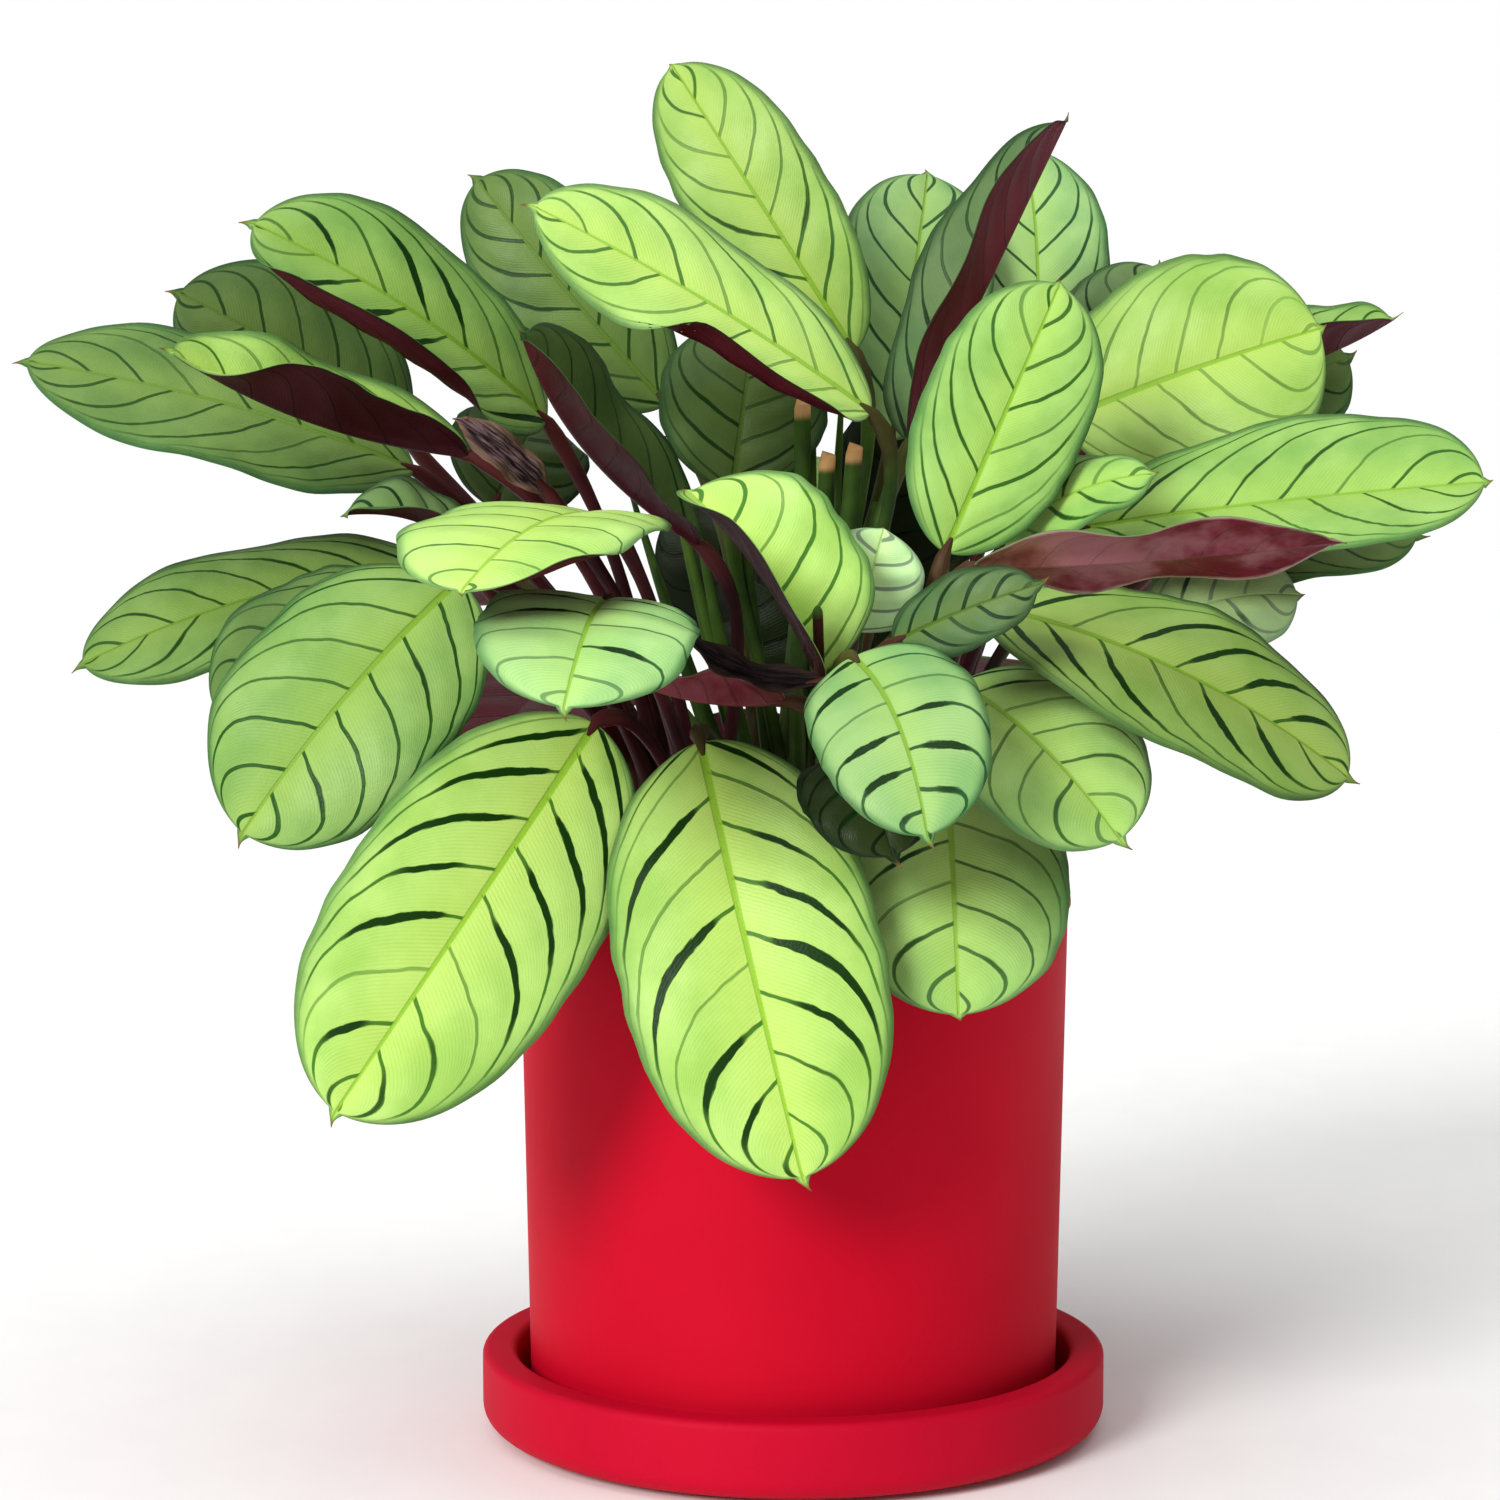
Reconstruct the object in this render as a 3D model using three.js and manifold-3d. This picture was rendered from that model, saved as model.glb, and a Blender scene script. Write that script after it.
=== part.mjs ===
// A potted amagris calathea: a clump of patterned oval leaves on thin stems, in a round pot on its saucer.
// Millimetres, +Z up. The origin is on the surface under the saucer, on the pot's axis. The front is at -Y.
import * as THREE from 'three';
import { mergeVertices } from 'three/addons/utils/BufferGeometryUtils.js';
import Module from 'manifold-3d';

const wasm = await Module();
wasm.setup();

// Driving dimensions of the pot
const POT_RIM_RADIUS = 68;
const POT_BASE_RADIUS = 64.9;
const POT_HEIGHT = 127.5;
const POT_WALL = 5;
const POT_FLOOR = 6;
const POT_LIP_HEIGHT = 4;
const POT_LIP_STEP = 0.6;
const POT_FOOT_HEIGHT = 2.5;
const POT_FOOT_WIDTH = 7;

// Driving dimensions of the saucer
const SAUCER_RADIUS = 77;
const SAUCER_HEIGHT = 20;
const SAUCER_WALL = 8.5;
const SAUCER_FLOOR = 4;
const SAUCER_FOOT_HEIGHT = 1.5;
const SAUCER_FOOT_RADIUS = 66;
const SAUCER_BOTTOM_ROUND = 5;
const RIM_ROUND = 2;
const ROUND_SIDES = 40;
const ARC_STEPS = 2;

// Driving dimensions of the soil, and the gap between pieces that rest on each other
const SOIL_BELOW_RIM = 12;
const SOIL_MOUND = 4;
const SOIL_RINGS = 3;
const SEAT_GAP = 0.3;
const BLADE_GAP = 0.6;

// Driving dimensions of a leaf blade
const BLADE_STEPS = 8;
const SMALL_BLADE_STEPS = 6;
const SMALL_BLADE_LENGTH = 55;
const SECTION_PLACES = [-1, -0.5, 0, 0.5, 1];
const BLADE_THICKNESS = 0.7;
const RIB_DEPTH = 0.7;
const STALK_HALF_WIDTH = 1.3;
const SPUR_HALF_WIDTH = 1.1;
const BASE_ROUNDNESS = 2.2;
const TIP_ROUNDNESS = 2.8;
const OUTLINE_POWER = 0.55;
const RIPPLES = 2;
const SPUR_LEAN = 0.33;

// Driving dimensions of the stems and of the crowns that they grow from. A stem starts in the crown, rises
// upright for its lift, a share of its height, and is thicker in its sheath and at the joint under its blade.
const STEM_SIDES = 5;
const STEM_STEPS = 6;
const STEM_RADIUS = 1.6;
const STEM_LIFT = 0.6;
const STEM_DIP = 0.33;
const JOINT_RADIUS = 2.1;
const JOINT_SHARE = 0.17;
const SHEATH_RADIUS = 2.6;
const SHEATH_SHARE = 0.58;
const ROOT_RISE = 2.5;
const ROOT_LEAN = 0.1;
const ROOT_SPREAD = 3.5;
const CROWN_SIDES = 10;
const CROWN_RADIUS = 8;
const CROWN_DEPTH = 22;
const CROWN_SHOULDER = 3;
const CROWN_RISE = 16;

// Where each shoot comes out of the soil
const SHOOTS = {
  left: [-26, 4],
  front_left: [-18, -24],
  front: [4, -30],
  front_right: [26, -20],
  right: [30, 8],
  middle: [2, -2],
  back: [-4, 26],
};

// Stalks of the middle shoot without a blade, by where they end: cut off, or young and still rolled up
const CUT_STALKS = [[8, -6, 239], [14.5, -8, 241], [2, -5, 252]];
const YOUNG_STALKS = [
  [-24, -6, 226], [-14, 10, 236], [0, -18, 214], [-34, 0, 212], [20, 8, 228],
  [5, 15, 250], [12, 16, 254], [-32, 14, 244], [-40, 12, 230],
];
const YOUNG_TIP_RADIUS = 0.6;
const CUT_RADIUS = 2;

const COLOURS = {
  lime: 0xa9cf72,
  green: 0x8bbb5c,
  deep: 0x5c8a48,
  silver: 0x93bb9b,
  dry: 0x5b3a3a,
  stem: 0x5b2a33,
  soil: 0x33241b,
  pot: 0xc8102e,
};

// What a leaf has unless its own line says otherwise: angles in degrees, lengths in millimetres.
// face is where its upper side looks, fold is how far each half rises from the midrib, cup bends them up
// towards their edges, arch bows the midrib up and sway sideways, ripple waves the edges, widest is the place
// along it where it is widest, spur is its pointed tip, and reach is how far its stem runs straight into it.
const PLAIN_LEAF = {
  colour: 'green',
  arch: 6,
  sway: 0,
  fold: [12, 12],
  cup: -25,
  widest: 0.48,
  ripple: 1.2,
  spur: 5,
  reach: 22,
};

const LEAVES = {
  far_left: {
    shoot: 'left', base: [-93, 5, 236], tip: [-187, -20, 263],
    width: 46, face: [-1, -6, 7], arch: 4, colour: 'deep',
  },
  left_hidden: {
    shoot: 'left', base: [-98, 42, 243], tip: [-157, 25, 282],
    width: 44, face: [0, -8, 4], colour: 'deep',
  },
  upper_left: {
    shoot: 'left', base: [-60, -5, 248], tip: [-130, -35, 296],
    width: 44, face: [0, -7, 4], arch: 8, fold: [30, 5], widest: 0.6,
  },
  narrow_left: {
    shoot: 'left', base: [-77, -30, 240], tip: [-147, -55, 265],
    width: 34, face: [9, -10, 11], arch: -6, fold: [90, 4], cup: 0, widest: 0.56, colour: 'lime',
  },
  behind_bright: {
    shoot: 'back', base: [-32, 44, 252], tip: [-84, 60, 313],
    width: 38, face: [-3, -8, 2], colour: 'deep',
  },
  bright_left: {
    shoot: 'middle', base: [18, -20, 250], tip: [-64, -48, 299],
    width: 38, face: [0, -7, 6], arch: 3, fold: [10, 20], widest: 0.56, colour: 'lime',
  },
  crimson_left: {
    shoot: 'front_left', base: [-23, -25, 219], tip: [-65, -60, 270],
    width: 44, face: [6, -6, 5], arch: -7, fold: [66, 22], colour: 'deep',
  },
  tall: {
    shoot: 'middle', base: [15, 15, 265], tip: [-31, 40, 338],
    width: 35, face: [-2, -8, 3], arch: 5, spur: 2, colour: 'lime',
  },
  back_centre: {
    shoot: 'back', base: [25, 35, 243], tip: [36, 72, 314],
    width: 41, face: [0, -1, 0], spur: 3, widest: 0.58, colour: 'silver',
  },
  upright_fold: {
    shoot: 'middle', base: [28, 0, 243], tip: [69, 20, 325],
    width: 38, face: [-12, -4, 6], fold: [44, 44], arch: 0, cup: 0, colour: 'silver',
  },
  back_right: {
    shoot: 'back', base: [60, 50, 240], tip: [62, 88, 322],
    width: 38, face: [0, -1, 0], sway: -3, spur: 3, widest: 0.55, colour: 'silver',
  },
  teal_right: {
    shoot: 'right', base: [72, 50, 246], tip: [98, 68, 291],
    width: 34, face: [0, -8, 3], colour: 'silver',
  },
  yellow_right: {
    shoot: 'right', base: [66, 10, 248], tip: [131, 5, 271],
    width: 58, face: [-1, -8, 3], arch: 3, spur: 3, widest: 0.54, colour: 'lime',
  },
  crimson_right: {
    shoot: 'right', base: [98, 40, 258], tip: [154, 25, 274],
    width: 36, face: [-3, -2, 10], fold: [34, 34], arch: -4, cup: 0,
  },
  dark_right: {
    shoot: 'right', base: [95, 50, 238], tip: [146, 45, 266],
    width: 38, face: [0, -8, 4], colour: 'deep',
  },
  round_front: {
    shoot: 'front_right', base: [34, -55, 218], tip: [62, -35, 281],
    width: 39, face: [1, -8, 3], arch: 3, spur: 2,
  },
  far_right: {
    shoot: 'right', base: [67, -20, 222], tip: [161, -50, 234],
    width: 52, face: [0, -7, 5], arch: 2, fold: [5, 38], widest: 0.58, spur: 3,
  },
  small_right: {
    shoot: 'front_right', base: [47, -38, 217], tip: [84, -50, 237],
    width: 24, face: [0, -6, 7], spur: 3, reach: 15,
  },
  purple_right: {
    shoot: 'front_right', base: [39, -84, 216], tip: [121, -94, 222],
    width: 26, face: [0, 6, 8], fold: [20, 10], arch: -1, ripple: 2, reach: 10,
  },
  under_right: {
    shoot: 'right', base: [87, 0, 211], tip: [153, -20, 221],
    width: 40, face: [0, -5, 7], colour: 'deep',
  },
  dark_lower_right: {
    shoot: 'right', base: [81, -28, 196], tip: [120, -38, 208],
    width: 36, face: [0, -6, 6], spur: 3, colour: 'deep',
  },
  lower_right: {
    shoot: 'front_right', base: [43, -62, 206], tip: [128, -75, 166],
    width: 50, face: [2, -5, 6], arch: 7, widest: 0.56, colour: 'lime',
  },
  low_right: {
    shoot: 'front_right', base: [37, -58, 188], tip: [74, -92, 153],
    width: 44, face: [2, -8, 4],
  },
  rim_right: {
    shoot: 'front_right', base: [35, -45, 167], tip: [36, -84, 114],
    width: 53, face: [0, -1, 0], spur: 2,
  },
  dark_centre: {
    shoot: 'middle', base: [-15, 5, 231], tip: [-9, 20, 276],
    width: 42, face: [0, -1, 0], colour: 'deep',
  },
  bright_centre: {
    shoot: 'front', base: [5, -70, 191], tip: [-26, -62, 234],
    width: 45, face: [3, -9, 3], fold: [72, 20], cup: 0, widest: 0.42, spur: 3, colour: 'lime',
  },
  small_centre: {
    shoot: 'front', base: [13, -55, 200], tip: [20, -58, 224],
    width: 25, face: [0, -1, 0], spur: 1, arch: 3, colour: 'silver',
  },
  slim_right: {
    shoot: 'front', base: [21, -83, 199], tip: [56, -95, 214],
    width: 18, face: [0, -8, 3], arch: 3, colour: 'silver',
  },
  front_right: {
    shoot: 'front', base: [12, -86, 196], tip: [28, -130, 158],
    width: 38, face: [-1, -7, 4], sway: 3, widest: 0.45, reach: 14, colour: 'silver',
  },
  dark_front: {
    shoot: 'front', base: [12, -68, 173], tip: [22, -98, 150],
    width: 32, face: [0, -8, 4], colour: 'deep',
  },
  front_left_big: {
    shoot: 'front_left', base: [-46, -60, 179], tip: [-105, -96, 92],
    width: 58, face: [0, -1, 0], arch: 9, colour: 'lime',
  },
  front_centre_big: {
    shoot: 'front', base: [-22, -62, 175], tip: [2, -98, 77],
    width: 60, face: [0, -1, 0], arch: 9, colour: 'lime',
  },
  left_tail: { shoot: 'left', base: [-78, -46, 211], tip: [-129, -68, 151], width: 55, face: [-1, -8, 4] },
  left_shadow: {
    shoot: 'left', base: [-87, -30, 206], tip: [-138, -50, 178],
    width: 44, face: [-1, -6, 6], colour: 'deep',
  },
  left_low: {
    shoot: 'left', base: [-86, 0, 212], tip: [-174, -25, 189],
    width: 43, face: [-1, -6, 8], widest: 0.57,
  },
  small_left: {
    shoot: 'left', base: [-77, -15, 214], tip: [-108, -28, 227],
    width: 24, face: [3, -6, 7], fold: [66, 20], spur: 3, colour: 'silver',
  },
  dark_left: {
    shoot: 'left', base: [-75, 24, 226], tip: [-62, 36, 253],
    width: 36, face: [0, -1, 0], colour: 'deep',
  },
  pale_left: {
    shoot: 'front_left', base: [-44, -48, 226], tip: [-72, -128, 212],
    width: 54, face: [0, -2, 9], spur: 3, colour: 'lime',
  },
  front_small: {
    shoot: 'front_left', base: [-42, -88, 209], tip: [-50, -140, 187],
    width: 48, face: [0, -7, 7], colour: 'silver',
  },
  magenta_front: {
    shoot: 'front', base: [-3, -66, 185], tip: [-36, -78, 189],
    width: 18, face: [0, -3, 9], fold: [80, 10], spur: 2, arch: -2, colour: 'deep',
  },
  dry_left: {
    shoot: 'front_left', base: [-58, -42, 232], tip: [-79, -52, 250],
    width: 9, face: [0, -8, 3], spur: 4, arch: 2, colour: 'dry',
  },
  dry_centre: {
    shoot: 'front', base: [6, -78, 190], tip: [-26, -84, 200],
    width: 9, face: [0, -6, 6], fold: [40, 40], arch: -6, spur: 2, colour: 'dry',
  },
  back_hang: {
    shoot: 'back', base: [-8, 66, 172], tip: [-16, 110, 88],
    width: 62, face: [0, 1, 0], arch: 9,
  },
  back_low_left: {
    shoot: 'back', base: [-48, 62, 188], tip: [-92, 134, 146],
    width: 56, face: [-1, 5, 8], colour: 'deep',
  },
  back_low_right: { shoot: 'back', base: [40, 66, 186], tip: [68, 142, 140], width: 58, face: [1, 5, 8] },
  back_mid_left: { shoot: 'back', base: [-72, 62, 207], tip: [-132, 112, 190], width: 52, face: [0, 3, 9] },
  back_mid_right: {
    shoot: 'right', base: [78, 70, 212], tip: [126, 126, 192],
    width: 52, face: [0, 3, 9], colour: 'silver',
  },
  back_up: {
    shoot: 'back', base: [6, 72, 226], tip: [20, 152, 234],
    width: 54, face: [0, 1, 9], colour: 'deep',
  },
  shade_centre: {
    shoot: 'back', base: [34, 68, 178], tip: [-36, 84, 222],
    width: 46, face: [0, -1, 0], spur: 3, colour: 'deep',
  },
  shade_right: {
    shoot: 'back', base: [20, 52, 196], tip: [34, 60, 258],
    width: 38, face: [0, -1, 0], spur: 3, colour: 'deep',
  },
};


const POT_BOTTOM = SAUCER_FOOT_HEIGHT + SAUCER_FLOOR + SEAT_GAP;
const POT_RIM = POT_BOTTOM + POT_HEIGHT;
const POT_FLOOR_TOP = POT_BOTTOM + POT_FOOT_HEIGHT + POT_FLOOR;
const SOIL_TOP = POT_RIM - SOIL_BELOW_RIM;

const toRadians = THREE.MathUtils.degToRad;

/** Returns a solid whose skin runs through rings of points, each ring a closed loop, capped at both ends. */
function loft(rings) {
  const count = rings[0].length;
  const positions = rings.flat().flatMap((point) => point.toArray());
  const triangles = [];
  for (let ring = 0; ring + 1 < rings.length; ring += 1) {
    for (let place = 0; place < count; place += 1) {
      const next = (place + 1) % count;
      const here = ring * count;
      const there = here + count;
      triangles.push(here + place, here + next, there + next);
      triangles.push(here + place, there + next, there + place);
    }
  }
  const last = (rings.length - 1) * count;
  for (let place = 1; place + 1 < count; place += 1) {
    triangles.push(0, place + 1, place);
    triangles.push(last, last + place, last + place + 1);
  }
  const geometry = new THREE.BufferGeometry();
  geometry.setAttribute('position', new THREE.Float32BufferAttribute(positions, 3));
  geometry.setIndex(triangles);
  return geometry;
}

/** Turns a closed geometry into a manifold-3d solid. */
function toSolid(geometry) {
  const bare = geometry.clone();
  bare.deleteAttribute('normal');
  bare.deleteAttribute('uv');
  const merged = mergeVertices(bare, 1e-3);
  return new wasm.Manifold(new wasm.Mesh({
    numProp: 3,
    vertProperties: new Float32Array(merged.getAttribute('position').array),
    triVerts: new Uint32Array(merged.index.array),
  }));
}

/** Turns a manifold-3d solid back into a geometry. */
function toGeometry(solid) {
  const mesh = solid.getMesh();
  const geometry = new THREE.BufferGeometry();
  geometry.setAttribute('position', new THREE.BufferAttribute(mesh.vertProperties, 3));
  geometry.setIndex(new THREE.BufferAttribute(mesh.triVerts, 1));
  geometry.computeVertexNormals();
  return geometry;
}

/** A solid turned round the Z axis from a profile of [radius, height] pairs, from the axis and back to it. */
function turned(profile, sides) {
  const points = profile.map(([radius, height]) => new THREE.Vector2(radius, height));
  return toSolid(new THREE.LatheGeometry(points, sides).rotateX(Math.PI / 2));
}

/** Profile points of a rounded edge about a centre, between two angles in degrees. */
function rounded(radius, height, round, from, to) {
  const points = [];
  for (let step = 0; step <= ARC_STEPS; step += 1) {
    const turn = toRadians(from + ((to - from) * step) / ARC_STEPS);
    points.push([radius + round * Math.cos(turn), height + round * Math.sin(turn)]);
  }
  return points;
}

/** The outside radius of the pot's wall at a height, without its lip. */
function potRadius(height) {
  const share = (height - POT_BOTTOM) / POT_HEIGHT;
  return THREE.MathUtils.lerp(POT_BASE_RADIUS, POT_RIM_RADIUS - POT_LIP_STEP, share);
}

/** The round pot: a low foot, a wall that widens a little upwards, and a narrow rounded lip. */
function pot() {
  const lipBottom = POT_RIM - POT_LIP_HEIGHT;
  const footOuter = POT_BASE_RADIUS - RIM_ROUND;
  const footInner = footOuter - POT_FOOT_WIDTH;
  return turned([
    [0, POT_BOTTOM + POT_FOOT_HEIGHT],
    [footInner - POT_FOOT_HEIGHT, POT_BOTTOM + POT_FOOT_HEIGHT],
    [footInner, POT_BOTTOM],
    ...rounded(footOuter, POT_BOTTOM + RIM_ROUND, RIM_ROUND, -90, 0),
    [potRadius(lipBottom), lipBottom],
    [POT_RIM_RADIUS, lipBottom + POT_LIP_STEP],
    ...rounded(POT_RIM_RADIUS - RIM_ROUND, POT_RIM - RIM_ROUND, RIM_ROUND, 0, 90),
    ...rounded(POT_RIM_RADIUS - POT_WALL + RIM_ROUND, POT_RIM - RIM_ROUND, RIM_ROUND, 90, 180),
    [potRadius(POT_FLOOR_TOP) - POT_WALL, POT_FLOOR_TOP + POT_WALL],
    [potRadius(POT_FLOOR_TOP) - 2 * POT_WALL, POT_FLOOR_TOP],
    [0, POT_FLOOR_TOP],
  ], ROUND_SIDES);
}

/** The saucer: a flat dish with a thick upright rim, rounded below, standing on a low flat foot. */
function saucer() {
  const inner = SAUCER_RADIUS - SAUCER_WALL;
  const floorTop = SAUCER_FOOT_HEIGHT + SAUCER_FLOOR;
  return turned([
    [0, 0],
    [SAUCER_FOOT_RADIUS, 0],
    [SAUCER_FOOT_RADIUS + SAUCER_FOOT_HEIGHT, SAUCER_FOOT_HEIGHT],
    ...rounded(SAUCER_RADIUS - SAUCER_BOTTOM_ROUND, SAUCER_FOOT_HEIGHT + SAUCER_BOTTOM_ROUND,
      SAUCER_BOTTOM_ROUND, -90, 0),
    ...rounded(SAUCER_RADIUS - RIM_ROUND, SAUCER_HEIGHT - RIM_ROUND, RIM_ROUND, 0, 90),
    ...rounded(inner + RIM_ROUND, SAUCER_HEIGHT - RIM_ROUND, RIM_ROUND, 90, 180),
    [inner, floorTop + RIM_ROUND],
    [inner - RIM_ROUND, floorTop],
    [0, floorTop],
  ], ROUND_SIDES);
}

/** The soil: it fills the pot to below the rim, rises to the middle, and has a hole for each crown. */
function soil() {
  const edge = potRadius(SOIL_TOP) - POT_WALL - 2 * SEAT_GAP;
  const bottom = potRadius(POT_FLOOR_TOP) - 2 * POT_WALL - 2 * SEAT_GAP;
  const top = [];
  for (let ring = 0; ring <= SOIL_RINGS; ring += 1) {
    const share = 1 - ring / SOIL_RINGS;
    const rise = (SOIL_MOUND / 2) * (1 + Math.cos(Math.PI * share));
    top.push([edge * share, SOIL_TOP + rise]);
  }
  const whole = turned([
    [0, POT_FLOOR_TOP + SEAT_GAP],
    [bottom, POT_FLOOR_TOP + SEAT_GAP],
    [bottom + POT_WALL, POT_FLOOR_TOP + POT_WALL + SEAT_GAP],
    ...top,
  ], ROUND_SIDES);
  const holeRadius = CROWN_RADIUS + SEAT_GAP;
  const hole = turned([
    [0, SOIL_TOP - CROWN_DEPTH - SEAT_GAP],
    [holeRadius, SOIL_TOP - CROWN_DEPTH - SEAT_GAP],
    [holeRadius, SOIL_TOP + 2 * SOIL_MOUND],
    [0, SOIL_TOP + 2 * SOIL_MOUND],
  ], CROWN_SIDES);
  return Object.values(SHOOTS).reduce((rest, [x, y]) => rest.subtract(hole.translate(x, y, 0)), whole);
}

/** Half the blade's width at u along it, from 0 at the base to 1 at the tip, as a share of its widest. */
function outline(u, widest) {
  const nearBase = u < widest;
  const away = nearBase ? (widest - u) / widest : (u - widest) / (1 - widest);
  return Math.max(0, 1 - away ** (nearBase ? BASE_ROUNDNESS : TIP_ROUNDNESS)) ** OUTLINE_POWER;
}

/** The midrib at u: its place, and the directions along it, across it to its left, and up from it. */
function midrib(leaf, u) {
  const base = new THREE.Vector3(...leaf.base);
  const along = new THREE.Vector3(...leaf.tip).sub(base);
  const length = along.length() - leaf.spur;
  along.normalize();
  const up = new THREE.Vector3(...leaf.face);
  up.addScaledVector(along, -up.dot(along)).normalize();
  const left = up.clone().cross(along);
  const bow = 4 * u * (1 - u);
  const bowSlope = 4 - 8 * u;
  const place = base
    .addScaledVector(along, length * u)
    .addScaledVector(up, leaf.arch * bow)
    .addScaledVector(left, leaf.sway * bow);
  const forward = along.clone().multiplyScalar(length)
    .addScaledVector(up, leaf.arch * bowSlope)
    .addScaledVector(left, leaf.sway * bowSlope)
    .normalize();
  const across = left.addScaledVector(forward, -left.dot(forward)).normalize();
  return { place, forward, across, out: forward.clone().cross(across) };
}

/** A point of the blade's middle surface at u along it and v across it (-1 to 1), with its normal. */
function bladePoint(leaf, u, v) {
  const { place, across, out } = midrib(leaf, u);
  const side = Math.sign(v);
  const share = Math.abs(v);
  const swell = outline(u, leaf.widest);
  const narrowest = THREE.MathUtils.lerp(STALK_HALF_WIDTH, SPUR_HALF_WIDTH, u);
  const halfWidth = Math.max(narrowest, (leaf.width / 2) * swell);
  const fold = toRadians(leaf.fold[side > 0 ? 0 : 1]);
  const cup = toRadians(leaf.cup || 0.01);
  const angle = fold + cup * share;
  const flat = (Math.sin(angle) - Math.sin(fold)) / cup;
  const rise = (Math.cos(fold) - Math.cos(angle)) / cup;
  const ripple = leaf.ripple * swell * share ** 2 * Math.sin(2 * Math.PI * RIPPLES * u + side);
  const point = place
    .addScaledVector(across, side * halfWidth * flat)
    .addScaledVector(out, halfWidth * rise + ripple);
  const normal = across.multiplyScalar(-side * Math.sin(angle))
    .addScaledVector(out, side ? Math.cos(angle) : 1)
    .normalize();
  return { v, point, normal };
}

/** One blade: rings across it, with a rib under its middle, drawn out into a short point at the tip. */
function blade(leaf) {
  const length = new THREE.Vector3(...leaf.tip).distanceTo(new THREE.Vector3(...leaf.base));
  const steps = length < SMALL_BLADE_LENGTH ? SMALL_BLADE_STEPS : BLADE_STEPS;
  const rings = [];
  for (let step = 0; step <= steps; step += 1) {
    const u = 0.5 - 0.5 * Math.cos((Math.PI * step) / steps);
    const places = SECTION_PLACES.map((v) => bladePoint(leaf, u, v));
    const top = places.map(({ point, normal }) => point.clone().addScaledVector(normal, BLADE_THICKNESS / 2));
    const bottom = places.map(({ v, point, normal }) => {
      const rib = v === 0 ? RIB_DEPTH * (1 - u) : 0;
      return point.clone().addScaledVector(normal, -BLADE_THICKNESS / 2 - rib);
    });
    rings.push([...bottom, ...top.reverse()]);
  }
  const { place, forward, across } = midrib(leaf, 1);
  const spur = place.addScaledVector(forward, leaf.spur).addScaledVector(across, leaf.spur * SPUR_LEAN);
  rings.push(rings[0].map(() => spur));
  return toSolid(loft(rings));
}

/** A round stem along a curve, whose radius at t (0 to 1) is radiusAt(t). */
function stem(curve, radiusAt) {
  const { normals, binormals } = curve.computeFrenetFrames(STEM_STEPS, false);
  const rings = normals.map((normal, step) => {
    const centre = curve.getPointAt(step / STEM_STEPS);
    const radius = radiusAt(step / STEM_STEPS);
    return Array.from({ length: STEM_SIDES }, (_, side) => {
      const turn = (2 * Math.PI * side) / STEM_SIDES;
      return centre.clone()
        .addScaledVector(normal, radius * Math.cos(turn))
        .addScaledVector(binormals[step], radius * Math.sin(turn));
    });
  });
  return toSolid(loft(rings));
}

/** Where a stem that ends at a given place leaves its crown, on the side that it leans to. */
function stemRoot(shootName, end) {
  const [x, y] = SHOOTS[shootName];
  const lean = new THREE.Vector3(end.x - x, end.y - y, 0);
  lean.setLength(Math.min(ROOT_SPREAD, lean.length() * ROOT_LEAN));
  return { lean, root: new THREE.Vector3(x, y, SOIL_TOP + ROOT_RISE).add(lean) };
}

/** A leaf's stem: upright out of its crown, then along the blade's own line up to the blade. */
function leafStem(leaf) {
  const { place, forward } = midrib(leaf, 0);
  const end = place.addScaledVector(forward, -BLADE_GAP);
  const { lean, root } = stemRoot(leaf.shoot, end);
  const lift = new THREE.Vector3(0, 0, (end.z - root.z) * STEM_LIFT).add(lean);
  const dip = new THREE.Vector3(0, 0, -leaf.reach * STEM_DIP);
  const straight = end.clone().addScaledVector(forward, -leaf.reach).add(dip);
  const curve = new THREE.CubicBezierCurve3(root, root.clone().add(lift), straight, end);
  return stem(curve, (t) => {
    const sheath = (SHEATH_RADIUS - STEM_RADIUS) * Math.max(0, 1 - t / SHEATH_SHARE);
    const joint = (JOINT_RADIUS - STEM_RADIUS) * Math.max(0, 1 - (1 - t) / JOINT_SHARE);
    return STEM_RADIUS + sheath + joint;
  });
}

/** A stalk of the middle shoot without a blade, whose radius at t is radiusAt(t). */
function stalk([x, y, z], radiusAt) {
  const end = new THREE.Vector3(x, y, z);
  const { lean, root } = stemRoot('middle', end);
  const middle = root.clone().lerp(end, 0.5).add(lean);
  return stem(new THREE.QuadraticBezierCurve3(root, middle, end), radiusAt);
}

/** The stalks without a blade: as thick as a sheath to their end, or thinning to a point. */
function bareStalks() {
  const cut = CUT_STALKS.map((end) => stalk(end, () => CUT_RADIUS));
  const young = YOUNG_STALKS.map((end) => stalk(end, (t) => {
    return THREE.MathUtils.lerp(SHEATH_RADIUS, YOUNG_TIP_RADIUS, t ** 2);
  }));
  return [...cut, ...young];
}

/** One shoot: its crown in the soil and the stems that grow from it, in one piece. */
function shoot(name) {
  const [x, y] = SHOOTS[name];
  const crown = turned([
    [0, SOIL_TOP - CROWN_DEPTH],
    [CROWN_RADIUS, SOIL_TOP - CROWN_DEPTH],
    [CROWN_RADIUS, SOIL_TOP + CROWN_SHOULDER],
    [CROWN_RADIUS / 2, SOIL_TOP + CROWN_RISE],
    [0, SOIL_TOP + CROWN_RISE],
  ], CROWN_SIDES).translate(x, y, 0);
  const stems = leaves.filter((leaf) => leaf.shoot === name).map(leafStem);
  const others = name === 'middle' ? bareStalks() : [];
  return [...stems, ...others].reduce((whole, part) => whole.add(part), crown);
}

const plant = new THREE.Group();

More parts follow.
